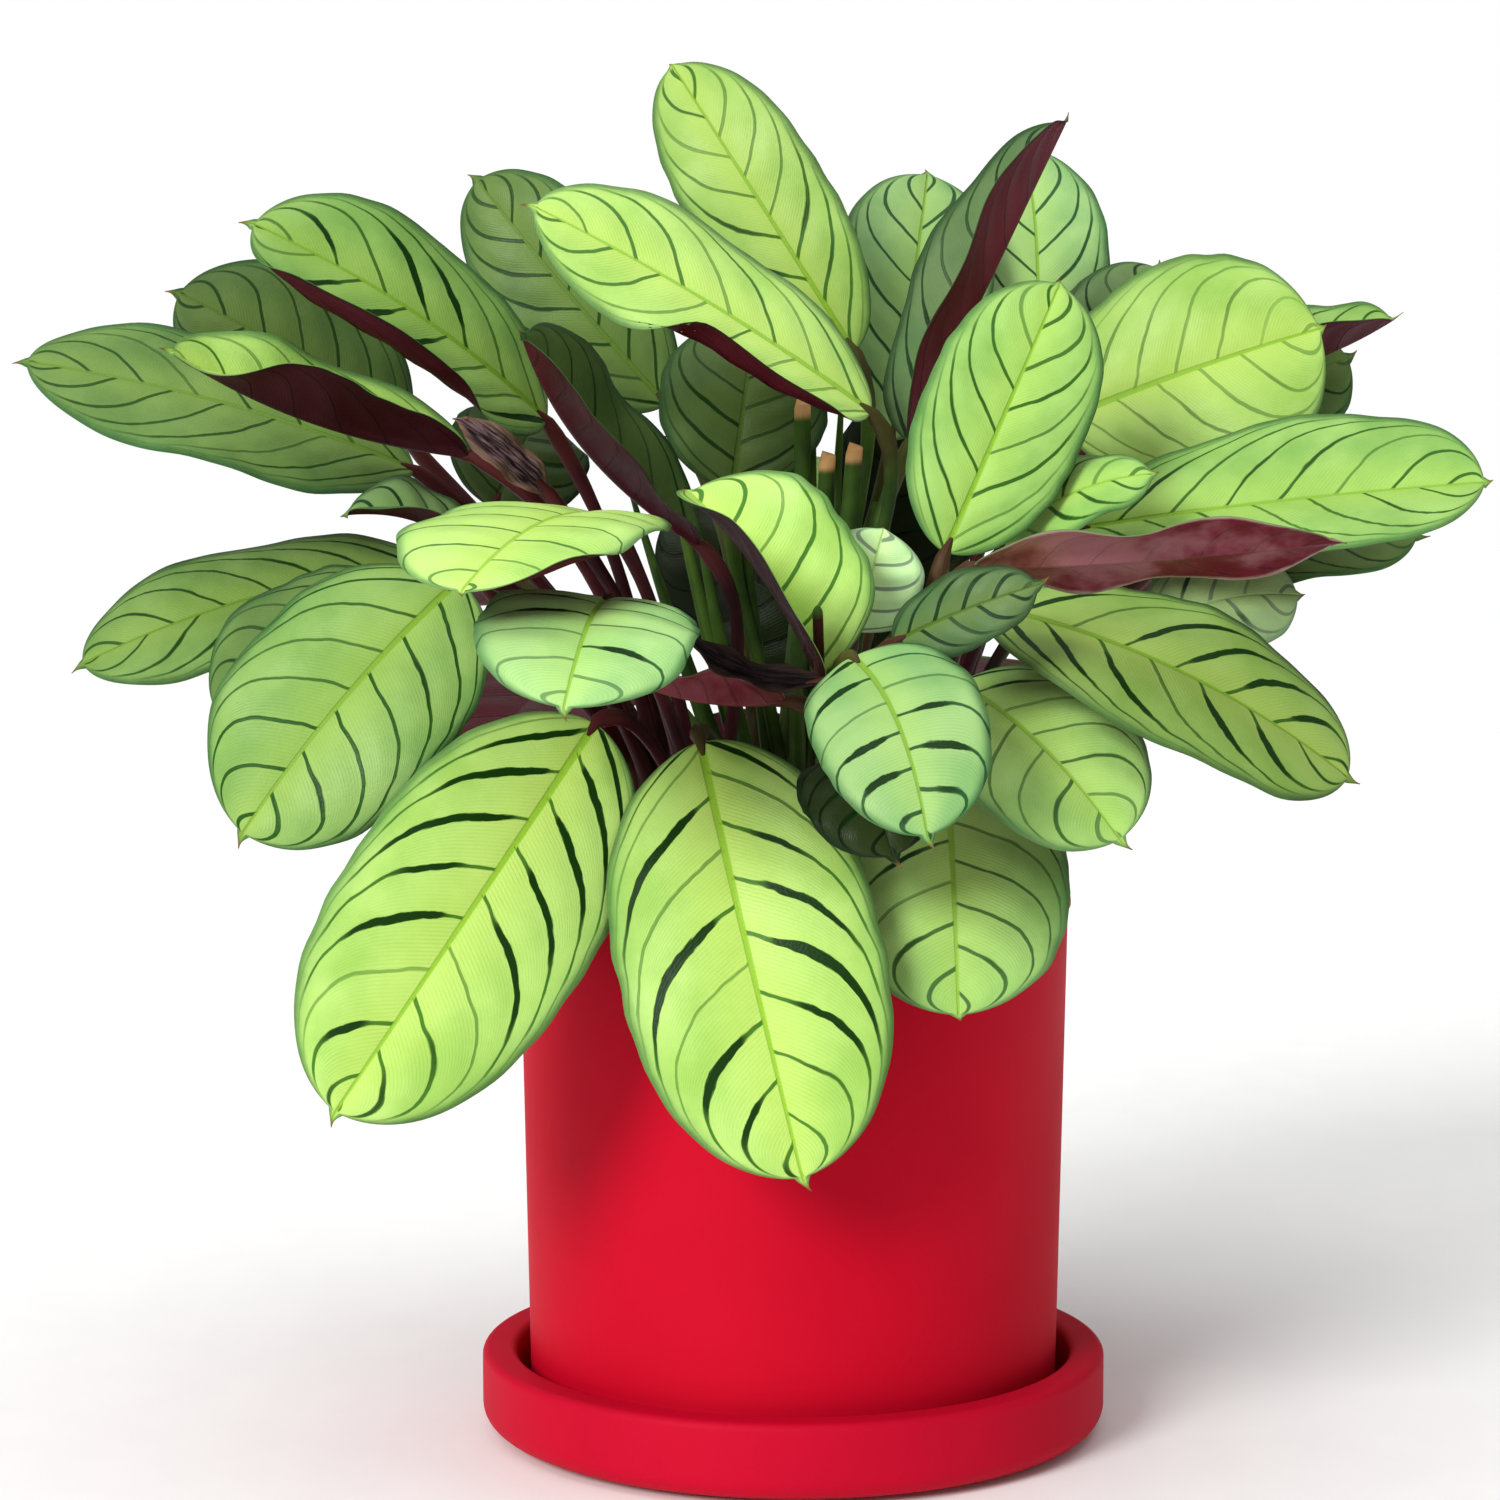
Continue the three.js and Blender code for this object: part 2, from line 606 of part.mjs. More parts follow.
/** Adds one named piece to the plant. */
function addPiece(name, solid, colour, roughness) {
  const material = new THREE.MeshStandardMaterial({ color: COLOURS[colour], roughness, metalness: 0 });
  const mesh = new THREE.Mesh(toGeometry(solid), material);
  mesh.name = name;
  plant.add(mesh);
}

const leaves = Object.entries(LEAVES).map(([name, leaf]) => ({ name, ...PLAIN_LEAF, ...leaf }));

addPiece('saucer', saucer(), 'pot', 0.6);
addPiece('pot', pot(), 'pot', 0.6);
addPiece('soil', soil(), 'soil', 0.95);
for (const name of Object.keys(SHOOTS)) {
  addPiece(`shoot_${name}`, shoot(name), 'stem', 0.5);
}
for (const leaf of leaves) {
  addPiece(`leaf_${leaf.name}`, blade(leaf), leaf.colour, 0.4);
}

export default plant;
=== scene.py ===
"""Looks for a potted amagris calathea: its patterned leaves, stalks, soil, pot and saucer.

Lengths are millimetres up to the point where a mesh is made, and the frame's metres after it.
"""

import logging
import math
from dataclasses import dataclass
from enum import Enum
from itertools import combinations
from typing import Sequence

import bpy
import numpy as np
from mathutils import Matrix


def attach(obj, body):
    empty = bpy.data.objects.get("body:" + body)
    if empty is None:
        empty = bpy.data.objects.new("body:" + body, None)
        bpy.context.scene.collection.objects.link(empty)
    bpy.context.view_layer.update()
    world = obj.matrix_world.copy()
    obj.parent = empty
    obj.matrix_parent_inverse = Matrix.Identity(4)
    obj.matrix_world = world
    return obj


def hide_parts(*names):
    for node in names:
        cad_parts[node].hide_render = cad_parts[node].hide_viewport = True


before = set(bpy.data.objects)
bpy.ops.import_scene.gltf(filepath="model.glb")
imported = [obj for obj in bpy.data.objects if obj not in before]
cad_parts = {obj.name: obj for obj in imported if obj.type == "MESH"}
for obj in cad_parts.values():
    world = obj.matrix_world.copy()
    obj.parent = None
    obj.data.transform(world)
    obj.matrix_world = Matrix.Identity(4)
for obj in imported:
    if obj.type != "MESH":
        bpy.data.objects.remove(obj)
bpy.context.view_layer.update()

LOG = logging.getLogger("calathea")
MM = 0.001
SEED = 20

Pair = tuple[float, float]
Vector = tuple[float, float, float]
Colour = tuple[float, float, float, float]
Socket = bpy.types.NodeSocket

# Where a drawn wave or a drawn turn may start, in radians
WAVE_STARTS: Pair = (0, 6.3)
# A way that no stalk runs in, which the first ring round a stalk is laid out by
RING_START: Vector = (0.3, 1.0, 0.2)
# The least share of the half width that is divided by
TINY = 0.001
# The values that a noise mostly lies between
NOISE_RANGE: Pair = (0.3, 0.7)
UPPER_SLOT = 0
UNDER_SLOT = 1


class Tint(Enum):
    """The kinds of leaf blade, by the material slot that each takes."""

    LIME = "leaf_lime"
    GREEN = "leaf_green"
    # Deep blades are partly the darker green of older leaves and partly painted shade, for blades that lie in
    # shade.
    DEEP = "leaf_deep"
    SILVER = "leaf_silver"
    DRY = "leaf_dry"


class StalkKind(Enum):
    """How a stalk ends: in a blade, cut off, or in a young leaf that is still rolled up."""

    LEAF = 0
    CUT = 1
    YOUNG = 2


@dataclass(frozen=True)
class Leaf:
    """One leaf: where its blade runs from and to, how wide it is, and where its upper side looks.

    Angles are degrees and lengths millimetres. fold is how far each half rises from the midrib, cup bends
    the halves up towards their edges, curl turns up the edges alone, arch bows the midrib up and sway
    sideways, ripple waves the edges, widest is the place along it where it is widest, spur is its pointed
    tip, reach is how far its stalk runs straight into it, brush is how broad its dark brush marks are,
    light is how pale its upper side and its underside are beside others of its kind, partly their own tone
    and partly painted shade and painted light, slant is how steeply its side veins lean to the tip, relax
    is how far its fold opens towards the tip, curled is the part of its length where the edges curl, crease
    is the part of the half width over which they bend, and veined is how dark its thin veins are.
    """

    shoot: str
    base: Vector
    tip: Vector
    width: float
    face: Vector
    tint: Tint = Tint.GREEN
    arch: float = 6.0
    sway: float = 0.0
    fold: Pair = (12.0, 12.0)
    cup: float = -25.0
    widest: float = 0.48
    ripple: float = 1.2
    spur: float = 5.0
    reach: float = 22.0
    curl: Pair = (0.0, 0.0)
    brush: float = 0.25
    light: Pair = (1.0, 1.0)
    slant: float = 1.0
    relax: float = 0.0
    curled: Pair = (0.0, 1.0)
    crease: Pair = (0.7, 1.0)
    veined: float = 1.0


# A blade's light is partly its own tone and partly painted light and shade: it is low and mostly painted
# shade on blades deep in the clump, such as dark_front, dark_left, dry_centre, shade_centre and shade_right,
# and over 1 it paints extra light on blades that catch it.
LEAVES: dict[str, Leaf] = {
    "far_left": Leaf(
        "left", (-93, 5, 236), (-187, -20, 263), 46, (-1, -6, 7), tint=Tint.DEEP, arch=4,
        light=(0.92, 1), slant=1.5, brush=0.12,
    ),
    "left_hidden": Leaf(
        "left", (-98, 42, 243), (-157, 25, 282), 44, (0, -8, 4), tint=Tint.DEEP,
        light=(0.5, 1), slant=1.4, brush=0.15,
    ),
    "upper_left": Leaf(
        "left", (-60, -5, 248), (-130, -35, 296), 44, (0, -7, 4),
        arch=8, fold=(30, 5), widest=0.6, brush=0.75, curl=(125, 0), light=(0.8, 0.5), slant=1.5,
        curled=(0.25, 0.95), crease=(0.62, 0.88),
    ),
    "narrow_left": Leaf(
        "left", (-77, -30, 240), (-147, -55, 265), 34, (9, -10, 11),
        tint=Tint.LIME, arch=-6, fold=(84, 20), cup=0, brush=0.1, light=(1.02, 0.34), relax=0.6, widest=0.56,
    ),
    "behind_bright": Leaf(
        "back", (-32, 44, 252), (-84, 60, 313), 38, (-3, -8, 2), tint=Tint.DEEP,
        light=(0.66, 1), slant=1.4,
    ),
    "bright_left": Leaf(
        "middle", (18, -20, 250), (-64, -48, 299), 38, (0, -7, 6),
        tint=Tint.LIME, arch=3, fold=(10, 20), widest=0.56, light=(1.12, 0.8), curl=(155, 0), slant=1.35,
        curled=(0.02, 0.6), crease=(0.64, 0.84), brush=0.15,
    ),
    "crimson_left": Leaf(
        "front_left", (-23, -25, 219), (-65, -60, 270), 44, (6, -6, 5),
        tint=Tint.DEEP, arch=-7, fold=(66, 22), brush=0.5, light=(0.42, 0.6),
    ),
    "tall": Leaf(
        "middle", (15, 15, 265), (-31, 40, 338), 35, (-2, -8, 3), tint=Tint.LIME, arch=5, spur=2,
        light=(0.78, 1), slant=1.5,
    ),
    "back_centre": Leaf(
        "back", (25, 35, 243), (36, 72, 314), 41, (0, -1, 0),
        tint=Tint.SILVER, spur=3, widest=0.58, light=(0.72, 1), slant=1.5, brush=0.12,
    ),
    "upright_fold": Leaf(
        "middle", (28, 0, 243), (69, 20, 325), 38, (-12, -4, 6),
        tint=Tint.SILVER, fold=(44, 44), arch=0, cup=0, light=(0.32, 1.25),
    ),
    "back_right": Leaf(
        "back", (60, 50, 240), (62, 88, 322), 38, (0, -1, 0),
        tint=Tint.SILVER, sway=-3, spur=3, widest=0.55, light=(0.85, 1), slant=1.5, brush=0.15,
    ),
    "teal_right": Leaf(
        "right", (72, 50, 246), (98, 68, 291), 34, (0, -8, 3), tint=Tint.SILVER,
        light=(0.45, 1),
    ),
    "yellow_right": Leaf(
        "right", (66, 10, 248), (131, 5, 271), 58, (-1, -8, 3),
        tint=Tint.LIME, arch=3, spur=3, widest=0.54, brush=0.15, light=(0.84, 1), slant=1.5, veined=0.6,
    ),
    "crimson_right": Leaf(
        "right", (98, 40, 258), (154, 25, 274), 36, (-3, -2, 10),
        fold=(34, 34), arch=-4, cup=0, light=(0.8, 0.6),
    ),
    "dark_right": Leaf(
        "right", (95, 50, 238), (146, 45, 266), 38, (0, -8, 4), tint=Tint.DEEP,
        light=(0.7, 1),
    ),
    "round_front": Leaf(
        "front_right", (34, -55, 218), (62, -35, 281), 39, (1, -8, 3), arch=3, spur=2,
        slant=1.6, brush=0.16,
    ),
    "far_right": Leaf(
        "right", (67, -20, 222), (161, -50, 234), 52, (0, -7, 5),
        arch=2, fold=(5, 38), widest=0.58, spur=3, light=(0.9, 1), slant=1.25,
    ),
    "small_right": Leaf(
        "front_right", (47, -38, 217), (84, -50, 237), 24, (0, -6, 7), spur=3, reach=15,
        light=(1.05, 1),
    ),
    "purple_right": Leaf(
        "front_right", (39, -84, 216), (121, -94, 222), 26, (0, 6, 8),
        fold=(20, 10), arch=-1, ripple=2, reach=10, light=(1, 1.4),
    ),
    "under_right": Leaf("right", (87, 0, 211), (153, -20, 221), 40, (0, -5, 7), tint=Tint.DEEP),
    "dark_lower_right": Leaf(
        "right", (81, -28, 196), (120, -38, 208), 36, (0, -6, 6),
        tint=Tint.DEEP, spur=3, light=(1.3, 1),
    ),
    "lower_right": Leaf(
        "front_right", (43, -62, 206), (128, -75, 166), 50, (2, -5, 6),
        tint=Tint.LIME, arch=7, widest=0.56, brush=0.75, light=(0.56, 1), slant=1.25,
    ),
    "low_right": Leaf(
        "front_right", (37, -58, 188), (74, -92, 153), 44, (2, -8, 4), brush=0.35,
        light=(1.12, 1), slant=1.1,
    ),
    "rim_right": Leaf(
        "front_right", (35, -45, 167), (36, -84, 114), 53, (0, -1, 0), spur=2, brush=0.3,
        light=(1.12, 1), slant=1.2,
    ),
    "dark_centre": Leaf(
        "middle", (-15, 5, 231), (-9, 20, 276), 42, (0, -1, 0), tint=Tint.DEEP,
        light=(0.38, 1), slant=1.5,
    ),
    "bright_centre": Leaf(
        "front", (5, -70, 191), (-26, -62, 234), 45, (3, -9, 3),
        tint=Tint.LIME, fold=(72, 20), cup=0, spur=3, light=(1.05, 0.26), relax=0.3, widest=0.42,
        brush=0.08,
    ),
    "small_centre": Leaf(
        "front", (13, -55, 200), (20, -58, 224), 25, (0, -1, 0),
        tint=Tint.SILVER, spur=1, arch=3, light=(1.45, 1), slant=0.8, brush=0.04,
    ),
    "slim_right": Leaf(
        "front", (21, -83, 199), (56, -95, 214), 18, (0, -8, 3), tint=Tint.SILVER, arch=3,
        light=(0.3, 1), slant=1.2, brush=0.15,
    ),
    "front_right": Leaf(
        "front", (12, -86, 196), (28, -130, 158), 38, (-1, -7, 4),
        tint=Tint.SILVER, sway=3, widest=0.45, brush=0.75, reach=14, light=(0.78, 1), slant=0.45,
    ),
    "dark_front": Leaf(
        "front", (12, -68, 173), (22, -98, 150), 32, (0, -8, 4), tint=Tint.DEEP,
        light=(0.12, 1),
    ),
    "front_left_big": Leaf(
        "front_left", (-46, -60, 179), (-105, -96, 92), 58, (0, -1, 0),
        tint=Tint.LIME, arch=9, brush=0.75, slant=1.1,
    ),
    "front_centre_big": Leaf(
        "front", (-22, -62, 175), (2, -98, 77), 60, (0, -1, 0),
        tint=Tint.LIME, arch=9, brush=0.9, slant=1.1,
    ),
    "left_tail": Leaf(
        "left", (-78, -46, 211), (-129, -68, 151), 55, (-1, -8, 4), brush=0.25,
        light=(0.75, 1), veined=1.35,
    ),
    "left_shadow": Leaf(
        "left", (-87, -30, 206), (-138, -50, 178), 44, (-1, -6, 6), tint=Tint.DEEP, light=(0.72, 1),
    ),
    "left_low": Leaf(
        "left", (-86, 0, 212), (-174, -25, 189), 43, (-1, -6, 8), widest=0.57,
        light=(0.6, 1), slant=1.3,
    ),
    "small_left": Leaf(
        "left", (-77, -15, 214), (-108, -28, 227), 24, (3, -6, 7),
        tint=Tint.SILVER, fold=(66, 20), spur=3, light=(0.6, 0.5), brush=0.12,
    ),
    "dark_left": Leaf(
        "left", (-75, 24, 226), (-62, 36, 253), 36, (0, -1, 0), tint=Tint.DEEP,
        light=(0.2, 1),
    ),
    "pale_left": Leaf(
        "front_left", (-44, -48, 226), (-72, -128, 212), 54, (0, -2, 9),
        tint=Tint.LIME, spur=3, brush=0.1, light=(1.12, 0.7), curl=(100, 0), slant=0.35, curled=(0.78, 1.2),
        crease=(0.72, 0.9),
    ),
    "front_small": Leaf(
        "front_left", (-42, -88, 209), (-50, -140, 187), 48, (0, -7, 7),
        tint=Tint.SILVER, brush=0.45, light=(1.02, 1), slant=0.4,
    ),
    "magenta_front": Leaf(
        "front", (-3, -66, 185), (-36, -78, 189), 18, (0, -3, 9),
        tint=Tint.DEEP, fold=(80, 10), spur=2, arch=-2, brush=0.2, light=(0.3, 1.3),
    ),
    "dry_left": Leaf(
        "front_left", (-58, -42, 232), (-79, -52, 250), 9, (0, -8, 3),
        tint=Tint.DRY, spur=4, arch=2, light=(0.8, 1),
    ),
    "dry_centre": Leaf(
        "front", (6, -78, 190), (-26, -84, 200), 9, (0, -6, 6),
        tint=Tint.DRY, fold=(40, 40), arch=-6, spur=2, light=(0.12, 0.2),
    ),
    "back_hang": Leaf("back", (-8, 66, 172), (-16, 110, 88), 62, (0, 1, 0), arch=9, brush=0.8),
    "back_low_left": Leaf(
        "back", (-48, 62, 188), (-92, 134, 146), 56, (-1, 5, 8),
        tint=Tint.DEEP, brush=0.6,
    ),
    "back_low_right": Leaf("back", (40, 66, 186), (68, 142, 140), 58, (1, 5, 8), brush=0.6),
    "back_mid_left": Leaf("back", (-72, 62, 207), (-132, 112, 190), 52, (0, 3, 9), brush=0.6),
    "back_mid_right": Leaf(
        "right", (78, 70, 212), (126, 126, 192), 52, (0, 3, 9),
        tint=Tint.SILVER, brush=0.7,
    ),
    "back_up": Leaf("back", (6, 72, 226), (20, 152, 234), 54, (0, 1, 9), tint=Tint.DEEP, brush=0.6),
    # shade_centre and shade_right stand behind the stalks with their upper sides painted almost black:
    # painted shade for the dark depth of the clump.
    "shade_centre": Leaf(
        "back", (34, 68, 178), (-36, 84, 222), 46, (0, -1, 0), tint=Tint.DEEP, spur=3,
        light=(0.07, 0.85),
    ),
    "shade_right": Leaf(
        "back", (20, 52, 196), (34, 60, 258), 38, (0, -1, 0), tint=Tint.DEEP, spur=3,
        light=(0.07, 0.85),
    ),
}

# Where each shoot stands in the pot
SHOOT_PLACES: dict[str, Pair] = {
    "left": (-26, 4),
    "front_left": (-18, -24),
    "front": (4, -30),
    "front_right": (26, -20),
    "right": (30, 8),
    "middle": (2, -2),
    "back": (-4, 26),
}

# How green the stalks of each shoot are, from maroon at 0
SHOOT_TONES: dict[str, float] = {
    "left": 0.05,
    "front_left": 0.12,
    "front": 0.5,
    "front_right": 0.35,
    "right": 0.3,
    "middle": 0.9,
    "back": 0.55,
}


def linear(code: str) -> Colour:
    """The linear colour of an sRGB code such as '#a1b2c3', with full alpha."""
    shares = (int(code[place : place + 2], 16) / 255 for place in (1, 3, 5))
    red, green, blue = (s / 12.92 if s <= 0.04045 else ((s + 0.055) / 1.055) ** 2.4 for s in shares)
    return red, green, blue, 1.0


def unit(vectors: np.ndarray) -> np.ndarray:
    """The vectors along the last axis, each scaled to length one."""
    return vectors / np.linalg.norm(vectors, axis=-1, keepdims=True)


def smooth(values: np.ndarray, low: float, high: float) -> np.ndarray:
    """A soft step from 0 where values are at low to 1 where they are at high."""
    share = np.clip((values - low) / (high - low), 0, 1)
    return share * share * (3 - 2 * share)


class Shape:
    """A mesh being put together from points in millimetres, faces, finish slots and maps."""

    def __init__(self, map_names: Sequence[str] = ()) -> None:
        """Starts an empty shape whose faces carry the named maps."""
        self.points: list[np.ndarray] = []
        self.faces: list[list[int]] = []
        self.slots: list[int] = []
        self.maps: dict[str, list[np.ndarray]] = {name: [] for name in map_names}
        self.count = 0

    def add(self, points: np.ndarray, faces: np.ndarray, slot: int = 0, **maps: np.ndarray) -> None:
        """Adds points and the faces between them.

        Args:
            points: The new points, one row each.
            faces: Indices into these points, one row for each face.
            slot: The finish slot of the faces.
            maps: For each map of the shape, a pair of values for each corner of each face.
        """
        self.add_faces(self.add_points(points), faces, slot, **maps)

    def add_points(self, points: np.ndarray) -> int:
        """Adds points, and returns the index of the first."""
        first = self.count
        self.points.append(points.reshape(-1, 3))
        self.count += points.size // 3
        return first

    def add_faces(self, first: int, faces: np.ndarray, slot: int = 0, **maps: np.ndarray) -> None:
        """Adds faces between points that the shape has, whose indices count from first.

        Args:
            first: The index of the point that the faces call 0.
            faces: Indices of points, one row for each face.
            slot: The finish slot of the faces.
            maps: For each map of the shape, a pair of values for each corner of each face.
        """
        self.faces.extend((faces + first).tolist())
        self.slots.extend([slot] * len(faces))
        for name, values in maps.items():
            self.maps[name].append(np.broadcast_to(values, (*faces.shape, 2)).reshape(-1, 2))

    def build(self, name: str, finishes: Sequence[bpy.types.Material]) -> bpy.types.Object:
        """Makes the Blender object.

        Args:
            name: The object's name.
            finishes: The materials, in the order of the finish slots.

        Returns:
            The object, linked to the scene and shaded smooth.
        """
        mesh = bpy.data.meshes.new(name)
        mesh.from_pydata((np.concatenate(self.points) * MM).tolist(), [], self.faces)
        mesh.polygons.foreach_set("material_index", self.slots)
        for map_name, parts in self.maps.items():
            layer = mesh.uv_layers.new(name=map_name)
            layer.data.foreach_set("uv", np.concatenate(parts).astype(np.float32).ravel())
        for finish in finishes:
            mesh.materials.append(finish)
        mesh.shade_smooth()
        mesh.update()
        made = bpy.data.objects.new(name, mesh)
        bpy.context.scene.collection.objects.link(made)
        return made


def grid_faces(rows: int, columns: int, closed: bool = False) -> np.ndarray:
    """The four-cornered faces of a grid of points.

    Args:
        rows: How many rows of points there are.
        columns: How many points there are in a row.
        closed: Whether each row joins up into a ring.

    Returns:
        One row of four point indices for each face.
    """
    row, column = np.meshgrid(np.arange(rows - 1), np.arange(columns - (not closed)), indexing="ij")
    after = (column + 1) % columns
    corners = [row * columns + column, (row + 1) * columns + column, (row + 1) * columns + after]
    return np.stack([*corners, row * columns + after], axis=-1).reshape(-1, 4)


def arc(radius: float, height: float, size: float, start: float, end: float) -> list[Pair]:
    """Profile points of a rounded edge.

    Args:
        radius: The distance of the rounding's centre from the axis.
        height: The height of its centre.
        size: The radius of the rounding.
        start: The angle where it starts, in degrees.
        end: The angle where it ends, in degrees.

    Returns:
        Nine pairs of radius and height.
    """
    turns = np.radians(np.linspace(start, end, 9))
    return [(radius + size * math.cos(turn), height + size * math.sin(turn)) for turn in turns]


def turned(shape: Shape, profile: Sequence[Pair], sides: int) -> None:
    """Adds a form turned round the Z axis, closed where its profile meets the axis.

    Args:
        shape: The shape to add it to.
        profile: Pairs of radius and height, from under the form round to over it.
        sides: How many sides the form has.
    """
    turns = np.linspace(0, 2 * np.pi, sides, endpoint=False)
    ring = np.stack([np.cos(turns), np.sin(turns), np.zeros(sides)], axis=-1)
    inner = [(radius, height) for radius, height in profile if radius > 0]
    points = np.stack([ring * radius + (0, 0, height) for radius, height in inner])
    shape.add(points, grid_faces(len(inner), sides, closed=True)[:, ::-1])
    around = np.arange(sides)
    for rim, (_, height), flip in ((points[0], profile[0], 1), (points[-1], profile[-1], -1)):
        fan = np.stack([np.full(sides, sides), (around + 1) % sides, around], axis=-1)
        shape.add(np.vstack([rim, (0, 0, height)]), fan[:, ::flip])


def icosahedron() -> tuple[np.ndarray, np.ndarray]:
    """The twelve corners of a ball of twenty triangles, a unit from its middle, and the triangles."""
    golden = (1 + math.sqrt(5)) / 2
    corners = [(0, a, b * golden) for a in (-1, 1) for b in (-1, 1)]
    ball = unit(np.array([c for x, y, z in corners for c in ((x, y, z), (y, z, x), (z, x, y))], float))
    # An edge is 1.05 long, and any other two corners are at least 1.7 apart
    near = np.linalg.norm(ball[:, None] - ball[None], axis=-1) < 1.1
    faces = [
        (a, b, c) if np.dot(np.cross(ball[b] - ball[a], ball[c] - ball[a]), ball[a]) > 0 else (a, c, b)
        for a, b, c in combinations(range(len(ball)), 3)
        if near[a, b] and near[b, c] and near[a, c]
    ]
    return ball, np.array(faces)


class Graph:
    """A node tree being written, with short methods for the nodes that these finishes use."""

    def __init__(self, tree: bpy.types.NodeTree) -> None:
        """Keeps the tree that the nodes go in."""
        self.tree = tree

    def node(self, kind: str, **settings: object) -> bpy.types.Node:
        """Adds a node of a kind, with its settings."""
        node = self.tree.nodes.new(kind)
        for key, value in settings.items():
            setattr(node, key, value)
        return node

    def feed(self, socket: Socket, value: object) -> None:
        """Links a socket to an input, or sets a plain value on it."""
        if isinstance(value, bpy.types.NodeSocket):
            self.tree.links.new(value, socket)
        else:
            socket.default_value = value

    def fill(self, node: bpy.types.Node, **values: object) -> bpy.types.Node:
        """Feeds a node's inputs by their names, with underscores for spaces, and returns the node."""
        for name, value in values.items():
            self.feed(node.inputs[name.replace("_", " ")], value)
        return node

    def math(self, operation: str, *values: object) -> Socket:
        """The result of one Math node on the values."""
        node = self.node("ShaderNodeMath", operation=operation)
        for socket, value in zip(node.inputs, values):
            self.feed(socket, value)
        return node.outputs[0]

    def plus(self, first: object, second: object) -> Socket:
        """The sum of two values."""
        return self.math("ADD", first, second)

    def minus(self, first: object, second: object) -> Socket:
        """The first value less the second."""
        return self.math("SUBTRACT", first, second)

    def times(self, first: object, *others: object) -> Socket:
        """The product of the values."""
        for other in others:
            first = self.math("MULTIPLY", first, other)
        return first

    def scaled(self, value: object, factor: object, offset: object) -> Socket:
        """A value times a factor, plus an offset."""
        return self.math("MULTIPLY_ADD", value, factor, offset)

    def from_middle(self, value: Socket) -> Socket:
        """How far a value from 0 to 1 is from one half."""
        return self.math("ABSOLUTE", self.minus(value, 0.5))

    def span(
        self, value: Socket, low: object, high: object, first: object = 0.0, last: object = 1.0
    ) -> Socket:
        """A value between low and high, softly taken to one between first and last.

        Args:
            value: The value.
            low: Where the soft step starts.
            high: Where it ends.
            first: The result up to low.
            last: The result from high on.

        Returns:
            The result.
        """
        node = self.node("ShaderNodeMapRange", interpolation_type="SMOOTHSTEP")
        for socket, part in zip(node.inputs, (value, low, high, first, last)):
            self.feed(socket, part)
        return node.outputs[0]

    def mix(self, share: object, first: object, second: object, blend: str = "MIX") -> Socket:
        """Mixes two colours.

        Args:
            share: The share of the second colour.
            first: The first colour.
            second: The second colour.
            blend: How they are mixed, MIX or MULTIPLY.

        Returns:
            The mixed colour.
        """
        node = self.node("ShaderNodeMix", data_type="RGBA", blend_type=blend)
        for place, value in ((0, share), (6, first), (7, second)):
            self.feed(node.inputs[place], value)
        return node.outputs[2]

    def lit(self, colour: Socket, light: Socket) -> Socket:
        """The colour times a lightness."""
        return self.mix(1.0, colour, self.join(light, light, light), "MULTIPLY")

    def noise(self, at: Socket, scale: object, detail: float = 3.0, rough: float = 0.5) -> Socket:
        """A soft noise from 0 to 1 at a place."""
        node = self.node("ShaderNodeTexNoise")
        return self.fill(node, Vector=at, Scale=scale, Detail=detail, Roughness=rough).outputs["Fac"]

    def chances(self, number: Socket) -> tuple[Socket, Socket, Socket]:
        """Three values from 0 to 1 drawn by a whole number."""
        drawn = self.fill(self.node("ShaderNodeTexWhiteNoise", noise_dimensions="1D"), W=number)
        parts = self.fill(self.node("ShaderNodeSeparateColor"), Color=drawn.outputs["Color"])
        return tuple(parts.outputs)

    def place(self) -> Socket:
        """The place on the object, in metres."""
        return self.node("ShaderNodeTexCoord").outputs["Object"]

    def layer(self, name: str) -> tuple[Socket, Socket]:
        """The two values of a map."""
        source = self.node("ShaderNodeUVMap", uv_map=name)
        parts = self.fill(self.node("ShaderNodeSeparateXYZ"), Vector=source.outputs["UV"])
        return parts.outputs[0], parts.outputs[1]

    def join(self, x: object, y: object, z: object) -> Socket:
        """A vector from three values."""
        return self.fill(self.node("ShaderNodeCombineXYZ"), X=x, Y=y, Z=z).outputs[0]

    def effect(self, group: bpy.types.NodeTree, **values: object) -> dict[str, Socket]:
        """Places a shared effect with its own values.

        Args:
            group: The effect's node group.
            values: Its inputs, by their names with underscores for spaces.

        Returns:
            Its outputs by name.
        """
        node = self.fill(self.node("ShaderNodeGroup", node_tree=group), **values)
        return {socket.name: socket for socket in node.outputs}


class Effect:
    """A shared node group with named inputs and outputs, built once."""

    def __init__(self, name: str, inputs: dict[str, float], outputs: Sequence[str]) -> None:
        """Makes the group and its sockets.

        Args:
            name: The group's name.
            inputs: The usual value of each input, by name.
            outputs: The names of the outputs.
        """
        self.group = bpy.data.node_groups.new(name, "ShaderNodeTree")
        for title, value in inputs.items():
            self.add_socket(title, "INPUT").default_value = value
        for title in outputs:
            self.add_socket(title, "OUTPUT")
        self.graph = Graph(self.group)
        self.given = self.graph.node("NodeGroupInput").outputs
        self.put = self.graph.node("NodeGroupOutput").inputs

    def add_socket(self, title: str, way: str) -> bpy.types.NodeTreeInterfaceSocket:
        """Adds a socket for a number, where way is INPUT or OUTPUT."""
        return self.group.interface.new_socket(name=title, in_out=way, socket_type="NodeSocketFloat")

    def give(self, **values: Socket) -> None:
        """Feeds the group's outputs, by their names with underscores for spaces."""
        for title, value in values.items():
            self.graph.feed(self.put[title.replace("_", " ")], value)


